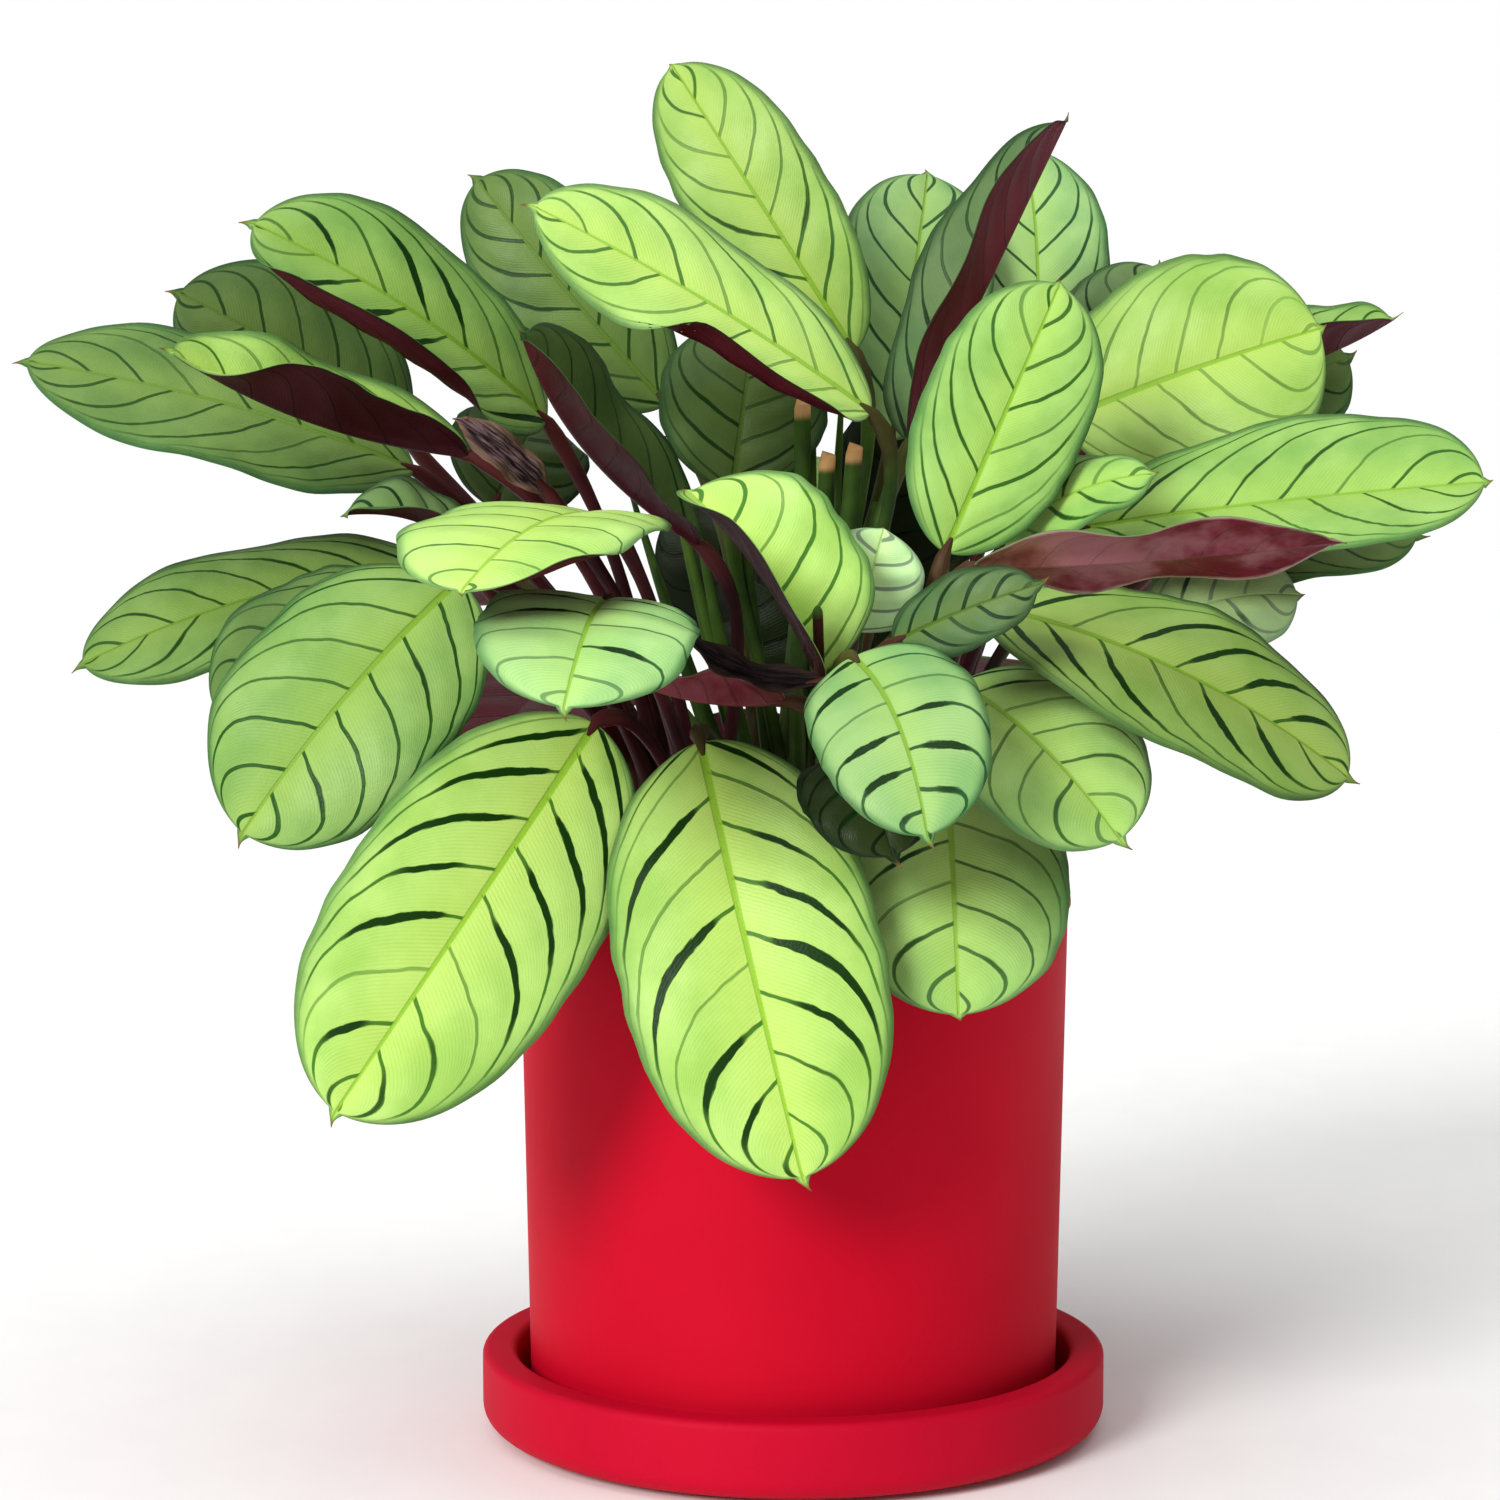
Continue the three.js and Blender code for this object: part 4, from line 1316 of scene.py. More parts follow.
    def angles(self, side: int, shares: np.ndarray, reach: np.ndarray) -> np.ndarray:
        """How steeply one half rises at points of it, in radians: its fold, its cup and the curl of its edge.

        Args:
            side: 1 for the left half and -1 for the right one.
            shares: Where the rows of points are along the blade.
            reach: Where the points of a row are, from the midrib at 0 to the edge at 1.

        Returns:
            The angles, by row and place in the row.
        """
        leaf, soft = self.leaf, self.curl_softness
        pick = 0 if side > 0 else 1
        first, last = leaf.curled
        curled = smooth(shares, first - soft, first + soft) * smooth(shares, last + soft, last - soft)
        curled = (curled * self.outline(shares))[:, None]
        curl = math.radians(leaf.curl[pick]) * smooth(reach, *leaf.crease) * curled
        kept = 1 - leaf.relax * smooth(shares, self.opens_from, 1.0)[:, None]
        return math.radians(leaf.fold[pick]) * kept + math.radians(leaf.cup) * reach + curl

    def waves(self, turn: np.ndarray, rng: np.random.Generator, counts: Pair) -> np.ndarray:
        """Three waves along the blade in one, each with a drawn number of crests and a drawn start."""
        return sum(np.sin(turn * rng.uniform(*counts) + rng.uniform(*WAVE_STARTS)) for _ in range(3))

    def half(
        self, side: int, shares: np.ndarray, reach: np.ndarray, axis: Axis
    ) -> tuple[np.ndarray, np.ndarray]:
        """One half of the blade's middle surface.

        Args:
            side: 1 for the left half and -1 for the right one.
            shares: Where the rows of points are along the blade.
            reach: Where the points of a row are, from the midrib at 0 to the edge at 1.
            axis: The midrib at the shares.

        Returns:
            The points and their normals, by row and place in the row.
        """
        rng = np.random.default_rng(SEED + 2 * self.number + (0 if side > 0 else 1))
        swell = self.outline(shares)[:, None]
        angle = self.angles(side, shares, reach)
        spacing = np.diff(reach)
        flat, rise = (
            np.pad(np.cumsum((part[:, 1:] + part[:, :-1]) / 2 * spacing, axis=1), ((0, 0), (1, 0)))
            for part in (np.cos(angle), np.sin(angle))
        )
        turn = 2 * np.pi * shares[:, None]
        ripple = self.leaf.ripple * np.sin(self.ripples * turn + side)
        ripple = ripple + self.wave * self.waves(turn, rng, self.wave_counts) / 3
        nicks = self.nick * self.waves(turn, rng, self.nick_counts)
        width = self.half_width(shares)[:, None] * (1 + nicks * reach**4)
        lift = width * rise + ripple * swell * reach**2
        points = axis.place[:, None] + axis.across[:, None] * (side * width * flat)[..., None]
        points = points + axis.out[:, None] * lift[..., None]
        normals = axis.across[:, None] * (-side * np.sin(angle))[..., None]
        normals = normals + axis.out[:, None] * np.cos(angle)[..., None]
        normals[:, 0] = axis.out
        phase = self.phase(side, shares, self.vein_lag(reach)[0])
        # The skin swells most half way out to the edge, where reach * (1 - reach) is a quarter
        swelling = self.quilt * np.cos(2 * np.pi * phase) * swell * 4 * reach * (1 - reach)
        return points + normals * swelling[..., None], normals

    def sheet(self) -> Sheet:
        """The whole middle surface: both halves, and the spur that runs on from the tip."""
        leaf = self.leaf
        shares = 0.5 - 0.5 * np.cos(np.pi * np.linspace(0, 1, self.steps + 1))
        reach = np.linspace(0, 1, self.half_steps + 1) ** self.crowding
        axis = self.axis(shares)
        right, right_normals = self.half(-1, shares, reach, axis)
        left, left_normals = self.half(1, shares, reach, axis)
        places = np.concatenate([-reach[:0:-1], reach])

        spur = np.linspace(0, 1, self.spur_steps + 1)[1:]
        length = leaf.spur * self.spur_share
        middle = axis.place[-1] + np.outer(spur, axis.forward[-1]) * length
        middle = middle + np.outer(spur**2, axis.across[-1]) * length * self.spur_lean
        widths = self.spur_half_width * (1 - spur) ** self.spur_taper + self.spur_end
        tips = middle[:, None] + axis.across[-1] * (widths[:, None] * places)[..., None]
        return Sheet(
            np.concatenate([np.concatenate([right[:, :0:-1], left], axis=1), tips]),
            np.concatenate([
                np.concatenate([right_normals[:, :0:-1], left_normals], axis=1),
                np.broadcast_to(axis.out[-1], tips.shape),
            ]),
            np.concatenate([shares, 1 + spur * self.spur_map_share]),
            places,
            np.concatenate([self.half_width(shares), widths]),
        )

    def skins(self, sheet: Sheet) -> tuple[np.ndarray, np.ndarray]:
        """The two sides of the blade, with a groove along the midrib above and a rib below.

        Args:
            sheet: The blade's middle surface.

        Returns:
            The points of the upper side and of the underside.
        """
        wide = np.abs(sheet.places)
        thick = (self.thickness + (self.edge_thickness - self.thickness) * wide**2) / 2
        past_tip = (1 + self.spur_map_share - sheet.shares) / self.spur_map_share
        thick = thick * np.clip(past_tip, self.spur_thinness, 1)[:, None]
        off = sheet.half_widths[:, None] * wide
        left = np.clip(self.rib_end - sheet.shares, 0, 1)[:, None]
        rib = np.exp(-((off / self.rib_spread) ** 2)) * left
        top = sheet.points + sheet.normals * (thick - self.groove_depth * rib)[..., None]
        bottom = sheet.points - sheet.normals * (thick + self.rib_depth * rib)[..., None]
        return top, bottom

    def maps(self, sheet: Sheet) -> dict[str, np.ndarray]:
        """The maps of the blade's faces, each a pair of values for each corner.

        Args:
            sheet: The blade's middle surface.

        Returns:
            veins has the count of side veins and the reach, place the millimetres along and across, size the
            millimetres from one side vein to the next and the share of the length, own the brush and a seed,
            light how pale the two sides are, partly their own tone and partly painted shade and painted
            light, and rib half the midrib's width and how dark the veins are.
        """
        rows, columns = len(sheet.shares), len(sheet.places)
        row, column = np.divmod(grid_faces(rows, columns), columns)
        reach = np.abs(sheet.places)
        run, pace = self.vein_lag(reach)
        right, left = (self.phase(side, sheet.shares, run)[row, column] for side in (-1, 1))
        phase = np.where(column[:, :1] >= columns // 2, left, right)
        width = sheet.half_widths[:, None]
        pitch = self.length() / self.vein_count() * width / np.hypot(self.length() * pace, width)
        pairs = {
            "veins": (phase, reach[column]),
            "place": (sheet.shares[row] * self.length(), (width * sheet.places)[row, column]),
            "size": (pitch[row, column], sheet.shares[row]),
            "own": (self.leaf.brush, self.seed_gap * self.number),
            "light": self.leaf.light,
            "rib": (self.rib_half_width(sheet.shares)[row], self.leaf.veined),
        }
        return {
            name: np.stack([np.broadcast_to(part, phase.shape) for part in pair], axis=-1)
            for name, pair in pairs.items()
        }

    def build(self, finishes: Sequence[bpy.types.Material]) -> bpy.types.Object:
        """Makes the blade.

        Args:
            finishes: Its upper side's and its underside's materials.

        Returns:
            The blade, dressed.
        """
        sheet = self.sheet()
        rows, columns = sheet.points.shape[:2]
        faces = grid_faces(rows, columns)
        upper = self.maps(sheet)
        under = {name: values[:, ::-1] for name, values in upper.items()}
        shape = Shape(tuple(upper))
        first = shape.add_points(np.stack(self.skins(sheet)))
        count = rows * columns
        shape.add_faces(first, faces, UPPER_SLOT, **upper)
        shape.add_faces(first + count, faces[:, ::-1], UNDER_SLOT, **under)

        # The thin rim between the two skins, side by side: the points along it, the faces beside it,
        # which of their corners are on it, and which way round it runs
        point = np.arange(count).reshape(rows, columns)
        face = np.arange(len(faces)).reshape(rows - 1, columns - 1)
        for line, beside, corners, way in (
            (point[:, 0], face[:, 0], [0, 0, 1, 1], 1),
            (point[:, -1], face[:, -1], [3, 3, 2, 2], -1),
            (point[0], face[0], [0, 0, 3, 3], -1),
            (point[-1], face[-1], [1, 1, 2, 2], 1),
        ):
            strip = np.stack([line[:-1], line[:-1] + count, line[1:] + count, line[1:]], axis=-1)
            own = {name: values[beside][:, corners[::way]] for name, values in upper.items()}
            shape.add_faces(first, strip[:, ::way], UPPER_SLOT, **own)
        return shape.build(f"blade_{self.name}", finishes)


@dataclass(frozen=True)
class Clump:
    """Sizes that the shoots share: their crowns, their stalks and the soil that they come out of."""

    soil_top: float = 121.3
    # The crown: its outline from the soil up, as shares of its radius and heights, and the lumps round it
    crown_radius: float = 8.0
    crown_depth: float = 22.0
    crown_shoulder: float = 3.0
    crown_rise: float = 16.0
    crown_sides: int = 24
    crown_narrows: tuple[Pair, ...] = ((0.85, 8.0), (0.62, 13.0))
    crown_top_share: float = 0.35
    crown_lumps: int = 5
    crown_lump: float = 0.05
    crown_tone: float = 0.5
    # The scales round the crown: how many, how tall, how far round each reaches, its bend in and out
    scales: int = 7
    scale_shift: float = 0.3
    scale_heights: Pair = (16, 27)
    scale_rows: int = 9
    scale_columns: int = 7
    scale_reach: float = 0.62
    scale_point: float = 2.2
    scale_off: float = 0.7
    scale_lean: float = 3.6
    scale_flare: float = 2.2
    scale_hollow: float = 0.5
    scale_round: float = 0.12
    scale_sunk: float = 1.0
    scale_tone: float = 0.6
    # A leaf stalk: its radii at the foot, in the middle and at the joint under the blade, and its course
    stalk_radius: float = 1.6
    joint_radius: float = 2.1
    joint_from: float = 0.779
    joint_full: float = 0.93
    sheath_radius: float = 2.6
    sheath_share: float = 0.58
    stalk_lift: float = 0.6
    stalk_dip: float = 0.33
    root_rise: float = 2.5
    root_lean: float = 0.1
    root_spread: float = 3.5
    blade_gap: float = 0.25
    tone_shift: float = 0.12
    # Its end under the blade, as pairs of a distance along the midrib and a radius
    neck: tuple[Pair, ...] = ((-1.2, 1.75), (0.4, 1.4), (2.0, 1.05), (3.6, 0.6))
    neck_sunk: float = 0.35
    # The sheath round a stalk's foot: where its slanted top is along the stalk, and how far it and its
    # lip stand off
    wrap_sides: int = 12
    wrap_steps: int = 12
    wrap_top: float = 0.33
    wrap_slant: float = 0.07
    wrap_off: float = 0.75
    wrap_lip: float = 0.95
    # Cut stalks: their knots, the slant of the cut, the hollow in it, and where the dry tan starts and is
    # full
    cut_radius: float = 2.0
    cut_knot: float = 0.15
    cut_knots: float = 9.0
    cut_slant: Pair = (-1.2, 1.6)
    pith_share: float = 0.45
    pith_depth: float = 0.5
    dried: Pair = (0.955, 0.985)
    # Young rolled leaves, the spike, and how far up the colours of a leaf stalk a stalk without a blade goes
    young_tip_radius: float = 0.6
    spike_radius: float = 1.25
    spike_taper: float = 0.7
    bare_share: float = 0.8


# Where the stalks without blades end
BARE_ENDS: dict[StalkKind, tuple[Vector, ...]] = {
    StalkKind.CUT: ((8, -6, 239), (14.5, -8, 241), (2, -5, 252)),
    StalkKind.YOUNG: (
        (-24, -6, 226), (-14, 10, 236), (0, -18, 214), (-34, 0, 212), (20, 8, 228),
        (5, 15, 250), (12, 16, 254), (-32, 14, 244), (-40, 12, 230),
    ),
}
BARE_SHOOT = "middle"

# The rolled tip of a new leaf that stands in the folded bright leaf: its foot, where its green starts
# and its end
SPIKE: tuple[Vector, Vector, Vector] = ((5, -72, 189), (4.4, -79, 204.5), (4.3, -80, 207))
SPIKE_SHOOT = "front"

# Where on the stalks' maps a plain part lies, as shares up the stalk and round it
SCALE_PLACE = 0.12
CROWN_PLACE: Pair = (0.1, 0.3)
SHEATH_PLACE = 0.15
END_PLACE: Pair = (0.5, 0.5)


@dataclass
class Shoot:
    """One shoot: its crown with the scales round it, and the stalks that grow from it."""

    name: str
    blades: Sequence[Blade]
    clump: Clump
    sides: int = 10
    stalk_steps: int = 26
    curve_steps: int = 200

    def root(self, end: np.ndarray) -> tuple[np.ndarray, np.ndarray]:
        """Where a stalk that ends at a place leaves the crown, and its lean as a vector."""
        x, y = SHOOT_PLACES[self.name]
        lean = np.array([end[0] - x, end[1] - y, 0.0])
        reach = float(np.linalg.norm(lean))
        lean = lean / reach * min(self.clump.root_spread, reach * self.clump.root_lean)
        return np.array([x, y, self.clump.soil_top + self.clump.root_rise]) + lean, lean

    def even(self, controls: Sequence[np.ndarray]) -> np.ndarray:
        """A smooth path with its points at even distances.

        Args:
            controls: The control points of a Bezier curve.

        Returns:
            The points along the curve, one more than there are steps.
        """
        fine = np.linspace(0, 1, self.curve_steps)[:, None]
        degree = len(controls) - 1
        curve = sum(
            math.comb(degree, place) * fine**place * (1 - fine) ** (degree - place) * control
            for place, control in enumerate(controls)
        )
        run = np.concatenate([[0], np.cumsum(np.linalg.norm(np.diff(curve, axis=0), axis=1))])
        wanted = np.linspace(0, run[-1], self.stalk_steps + 1)
        return np.stack([np.interp(wanted, run, curve[:, part]) for part in range(3)], axis=-1)

    def leaf_stalk(self, blade: Blade) -> np.ndarray:
        """The path of a leaf's stalk: upright out of the crown, then in line with the blade."""
        clump = self.clump
        axis = blade.axis(np.zeros(1))
        end = axis.place[0] - axis.forward[0] * clump.blade_gap
        root, lean = self.root(end)
        lifted = root + (0, 0, (end[2] - root[2]) * clump.stalk_lift) + lean
        reach = blade.leaf.reach
        straight = end - axis.forward[0] * reach - (0, 0, reach * clump.stalk_dip)
        return self.even([root, lifted, straight, end])

    def neck(self, blade: Blade, path: np.ndarray, radii: np.ndarray) -> tuple[np.ndarray, np.ndarray]:
        """Leads a leaf's stalk on under the base of its blade, where it becomes the midrib.

        Args:
            blade: The blade.
            path: The stalk's middle line up to the blade.
            radii: Its radius at each point of the path.

        Returns:
            The longer path and its radii.
        """
        along, sizes = np.transpose(self.clump.neck)
        axis = blade.axis(along / blade.length())
        sunk = axis.place - axis.out * self.clump.neck_sunk
        return np.concatenate([path[:-1], sunk]), np.concatenate([radii[:-1], sizes])

    def bare_stalk(self, end: Vector) -> np.ndarray:
        """The path of a stalk without a blade, to its end."""
        last = np.array(end, float)
        root, lean = self.root(last)
        return self.even([root, (root + last) / 2 + lean, last])

    def radii(self, kind: StalkKind) -> np.ndarray:
        """How thick a stalk of a kind is at each of its steps."""
        clump = self.clump
        share = np.linspace(0, 1, self.stalk_steps + 1)
        if kind is StalkKind.CUT:
            return clump.cut_radius + clump.cut_knot * np.sin(clump.cut_knots * share)
        if kind is StalkKind.YOUNG:
            return clump.sheath_radius + (clump.young_tip_radius - clump.sheath_radius) * share**2
        sheath = (clump.sheath_radius - clump.stalk_radius) * np.clip(1 - share / clump.sheath_share, 0, 1)
        joint = (clump.joint_radius - clump.stalk_radius) * smooth(share, clump.joint_from, clump.joint_full)
        return clump.stalk_radius + sheath + joint

    def rings(self, path: np.ndarray, radii: np.ndarray, sides: int) -> np.ndarray:
        """Rings of points round a path, without twist.

        Args:
            path: The middle line.
            radii: The radius at each point of the path.
            sides: How many points a ring has.

        Returns:
            The points, by step along the path and side.
        """
        ways = unit(np.gradient(path, axis=0))
        normal = np.cross(ways[0], RING_START)
        turns = np.linspace(0, 2 * np.pi, sides, endpoint=False)
        made = []
        for centre, way, radius in zip(path, ways, radii):
            normal = unit(normal - way * (normal @ way))
            other = np.cross(way, normal)
            made.append(centre + radius * (np.outer(np.cos(turns), normal) + np.outer(np.sin(turns), other)))
        return np.stack(made)

    def cut(self, rings: np.ndarray, way: np.ndarray) -> np.ndarray:
        """The rings of a stalk whose last one is cut on a slant, with the hollow of the pith in it."""
        clump = self.clump
        rings[-1] += way * np.linspace(*clump.cut_slant, self.sides)[:, None]
        pith = rings[-1] * clump.pith_share + rings[-1].mean(axis=0) * (1 - clump.pith_share)
        return np.concatenate([rings, (pith - way * clump.pith_depth)[None]])

    def add_tube(
        self, shape: Shape, path: np.ndarray, radii: np.ndarray, tone: float, kind: StalkKind
    ) -> None:
        """Adds one stalk, closed at its end.

        Args:
            shape: The shape to add it to.
            path: Its middle line.
            radii: Its radius at each point of the path.
            tone: How green it is.
            kind: How it ends.
        """
        is_cut = kind is StalkKind.CUT
        rings = self.rings(path, radii, self.sides)
        if is_cut:
            rings = self.cut(rings, unit(path[-1] - path[-2]))
        row = np.repeat(np.arange(len(rings) - 1), self.sides)
        side = np.tile(np.arange(self.sides), len(rings) - 1)
        share = np.stack([row, row + 1, row + 1, row], axis=-1)[:, ::-1] / self.stalk_steps
        turn = np.stack([side, side, side + 1, side + 1], axis=-1)[:, ::-1] / self.sides
        start, full = self.clump.dried
        dried = np.clip((share - start) / (full - start), 0, 1) * is_cut
        seen_share = np.clip(share, 0, 1 if kind is StalkKind.LEAF else self.clump.bare_share)
        faces = grid_faces(len(rings), self.sides, closed=True)[:, ::-1]
        stalk = np.stack([np.full(share.shape, tone), seen_share], axis=-1)
        shape.add(rings, faces, 0, stalk=stalk, skin=np.stack([dried, turn], axis=-1))
        end = {"stalk": np.array([tone, END_PLACE[0]]), "skin": np.array([float(is_cut), END_PLACE[1]])}
        shape.add(rings[-1], np.arange(self.sides)[None, :], 0, **end)

    def add_sheath(self, shape: Shape, path: np.ndarray, radii: np.ndarray, tone: float, turn: float) -> None:
        """Adds the sheath that wraps the foot of a stalk, with its top cut on a slant.

        Args:
            shape: The shape to add it to.
            path: The stalk's middle line.
            radii: The stalk's radius at each point of the path.
            tone: How green the stalk is.
            turn: Which way the sheath's point looks, in radians.
        """
        clump = self.clump
        sides, steps = clump.wrap_sides, clump.wrap_steps
        around = np.linspace(0, 2 * np.pi, sides, endpoint=False)
        tops = (clump.wrap_top + clump.wrap_slant * np.cos(around - turn)) * (len(path) - 1)
        rings = self.rings(path, radii, sides)
        outward = (rings - path[:, None, :]) / radii[:, None, None]
        # It starts in the stalk, stands off it all the way up, ends in a lip and turns in again
        stands_off = [0.0, *[clump.wrap_off] * (steps - 2), clump.wrap_lip, 0.0]
        pick = np.arange(sides)
        rows = []
        for step, off in enumerate(stands_off):
            at = tops * step / steps
            low = np.floor(at).astype(int)
            part = (at - low)[:, None]
            skin = rings[low, pick] * (1 - part) + rings[low + 1, pick] * part
            rows.append(skin + outward[low, pick] * off)
        faces = grid_faces(steps + 1, sides, closed=True)[:, ::-1]
        plain = {"stalk": np.array([tone, SHEATH_PLACE]), "skin": np.array([0.0, turn])}
        shape.add(np.stack(rows), faces, 0, **plain)

    def add_spike(self, shape: Shape) -> None:
        """Adds the rolled tip of a new leaf, maroon below and green at its end."""
        share = np.linspace(0, 1, self.stalk_steps + 1)
        foot, change, end = (np.array(place, float) for place in SPIKE)
        thinning = 1 - self.clump.spike_taper * share**3
        even = np.ones(len(share))
        for first, last, size, tone in ((foot, change, even, 0.0), (change, end, thinning, 1.0)):
            path = first + np.outer(share, last - first)
            self.add_tube(shape, path, self.clump.spike_radius * size, tone, StalkKind.YOUNG)

    def add_crown(self, shape: Shape, tone: float) -> None:
        """Adds the crown in the soil."""
        clump = self.clump
        x, y = SHOOT_PLACES[self.name]
        turns = np.linspace(0, 2 * np.pi, clump.crown_sides, endpoint=False)
        profile = (
            (1.0, -clump.crown_depth),
            (1.0, clump.crown_shoulder),
            *clump.crown_narrows,
            (clump.crown_top_share, clump.crown_rise),
        )
        lumpy = clump.crown_radius * (1 + clump.crown_lump * np.sin(clump.crown_lumps * turns + x))
        ring = np.stack([lumpy * np.cos(turns), lumpy * np.sin(turns), np.zeros(len(turns))], axis=-1)
        rings = np.stack([ring * share + (x, y, clump.soil_top + height) for share, height in profile])
        place, turn = CROWN_PLACE
        plain = {"stalk": np.array([tone * clump.crown_tone, place]), "skin": np.array([0.0, turn])}
        shape.add(rings, grid_faces(len(profile), clump.crown_sides, closed=True)[:, ::-1], 0, **plain)
        shape.add(rings[-1], np.arange(clump.crown_sides)[None, :], 0, **plain)

    def add_scales(self, shape: Shape, tone: float) -> None:
        """Adds the pointed scales round the crown."""
        clump = self.clump
        x, y = SHOOT_PLACES[self.name]
        rng = np.random.default_rng(SEED + list(SHOOT_PLACES).index(self.name))
        up = np.linspace(0, 1, clump.scale_rows)[:, None]
        wide = np.linspace(-1, 1, clump.scale_columns)[None, :]
        faces = grid_faces(clump.scale_rows, clump.scale_columns)[:, ::-1]
        for scale in range(clump.scales):
            middle = 2 * np.pi * scale / clump.scales + rng.uniform(-clump.scale_shift, clump.scale_shift)
            tall = rng.uniform(*clump.scale_heights)
            angle = middle + wide * clump.scale_reach * (1 - up**clump.scale_point)
            radius = clump.crown_radius + clump.scale_off - clump.scale_lean * up
            radius = radius + clump.scale_hollow * (1 - wide**2) + clump.scale_flare * up**4
            height = clump.soil_top - clump.scale_sunk + tall * up * (1 - clump.scale_round * wide**2)
            points = np.stack([x + radius * np.cos(angle), y + radius * np.sin(angle), height], axis=-1)
            stalk = np.array([tone * clump.scale_tone, SCALE_PLACE])
            shape.add(points, faces, 0, stalk=stalk, skin=np.array([0.0, middle]))

    def build(self, finish: bpy.types.Material) -> bpy.types.Object:
        """Makes the shoot, dressed in the stalks' finish."""
        shape = Shape(("stalk", "skin"))
        tone = SHOOT_TONES[self.name]
        rng = np.random.default_rng(SEED + len(self.name))
        shift = self.clump.tone_shift
        self.add_crown(shape, tone)
        self.add_scales(shape, tone)
        for blade in self.blades:
            path = self.leaf_stalk(blade)
            radii = self.radii(StalkKind.LEAF)
            own = tone + rng.uniform(-shift, shift)
            self.add_tube(shape, *self.neck(blade, path, radii), own, StalkKind.LEAF)
            self.add_sheath(shape, path, radii, own, rng.uniform(*WAVE_STARTS))
        if self.name == SPIKE_SHOOT:
            self.add_spike(shape)
        if self.name == BARE_SHOOT:
            for kind, ends in BARE_ENDS.items():
                for end in ends:
                    self.add_tube(shape, self.bare_stalk(end), self.radii(kind), tone, kind)
        return shape.build(f"stalks_{self.name}", [finish])


@dataclass
class Pot:
    """The round pot: a low foot, a wall that widens a little upwards, and a narrow rounded lip."""

    rim_radius: float = 68.0
    base_radius: float = 64.9
    bottom: float = 5.8
    height: float = 127.5
    wall: float = 5.0
    floor: float = 6.0
    lip_height: float = 4.0
    lip_step: float = 0.6
    lip_round: float = 0.7
    lip_rise: float = 1.0
    # The line under the lip: how deep it is, how far below the lip it starts and is deepest, and its end
    groove: float = 0.25
    groove_start: float = 1.2
    groove_low: float = 0.45
    groove_end: float = 0.2
    foot_height: float = 2.5
    foot_width: float = 7.0
    foot_round: float = 0.8
    foot_inset: float = 0.6
    edge: float = 2.0
    wall_start: float = 12.0
    wall_points: int = 12
    sides: int = 160

    @property
    def rim(self) -> float:
        """The height of the pot's rim."""
        return self.bottom + self.height

    def outside(self, height: float) -> float:
        """The outside radius of the wall at a height."""
        share = (height - self.bottom) / self.height
        return self.base_radius + (self.rim_radius - self.lip_step - self.base_radius) * share

    def profile(self) -> list[Pair]:
        """The pot's outline, from the axis under it round to the axis inside it."""
        lip = self.rim - self.lip_height
        foot = self.base_radius - self.edge
        under = self.bottom + self.foot_height
        floor_top = under + self.floor
        lip_round, foot_round = self.lip_round, self.foot_round
        heights = np.linspace(self.bottom + self.wall_start, lip - self.groove_start, self.wall_points)
        return [
            (0, under),
            (foot - self.foot_width - self.foot_height, under),
            *arc(foot - self.foot_width + self.foot_inset, self.bottom + foot_round, foot_round, 180, 270),
            *arc(foot, self.bottom + self.edge, self.edge, -90, 0),
            *[(self.outside(height), height) for height in heights],
            (self.outside(lip) - self.groove, lip - self.groove_low),
            (self.outside(lip) - self.groove_end, lip),
            *arc(self.rim_radius - lip_round, lip + self.lip_rise, lip_round, -60, 0),
            *arc(self.rim_radius - self.edge, self.rim - self.edge, self.edge, 0, 90),
            *arc(self.rim_radius - self.wall + self.edge, self.rim - self.edge, self.edge, 90, 180),
            (self.outside(floor_top) - self.wall, floor_top + self.wall),
            (self.outside(floor_top) - 2 * self.wall, floor_top),
            (0, floor_top),
        ]

    def build(self, finish: bpy.types.Material) -> bpy.types.Object:
        """Makes the pot, dressed in its finish."""
        shape = Shape()
        turned(shape, self.profile(), self.sides)
        return shape.build("round_pot", [finish])


@dataclass
class Saucer:
    """The saucer: a flat dish with a thick upright rim, rounded below, on a low flat foot."""

    radius: float = 77.0
    height: float = 20.0
    wall: float = 8.5
    floor: float = 4.0
    foot_height: float = 1.5
    foot_radius: float = 66.0
    foot_inset: float = 0.5
    bottom_round: float = 5.0
    edge: float = 2.0
    sides: int = 160

    def profile(self) -> list[Pair]:
        """The saucer's outline, from the axis under it round to the axis inside it."""
        inner = self.radius - self.wall
        floor_top = self.foot_height + self.floor
        low, edge = self.bottom_round, self.edge
        return [
            (0, 0),
            (self.foot_radius - self.foot_inset, 0),
            (self.foot_radius + self.foot_height, self.foot_height),
            *arc(self.radius - low, self.foot_height + low, low, -90, 0),
            *arc(self.radius - edge, self.height - edge, edge, 0, 90),
            *arc(inner + edge, self.height - edge, edge, 90, 180),
            *arc(inner - edge, floor_top + edge, edge, 0, -90),
            (0, floor_top),
        ]

    def build(self, finish: bpy.types.Material) -> bpy.types.Object:
        """Makes the saucer, dressed in its finish."""
        shape = Shape()
        turned(shape, self.profile(), self.sides)
        return shape.build("round_saucer", [finish])


@dataclass(frozen=True)
class Lumps:
    """Small irregular lumps on the soil: how many, their finish, their radii and their length for their
    width.
    """

    count: int
    slot: int
    sizes: Pair
    stretch: float


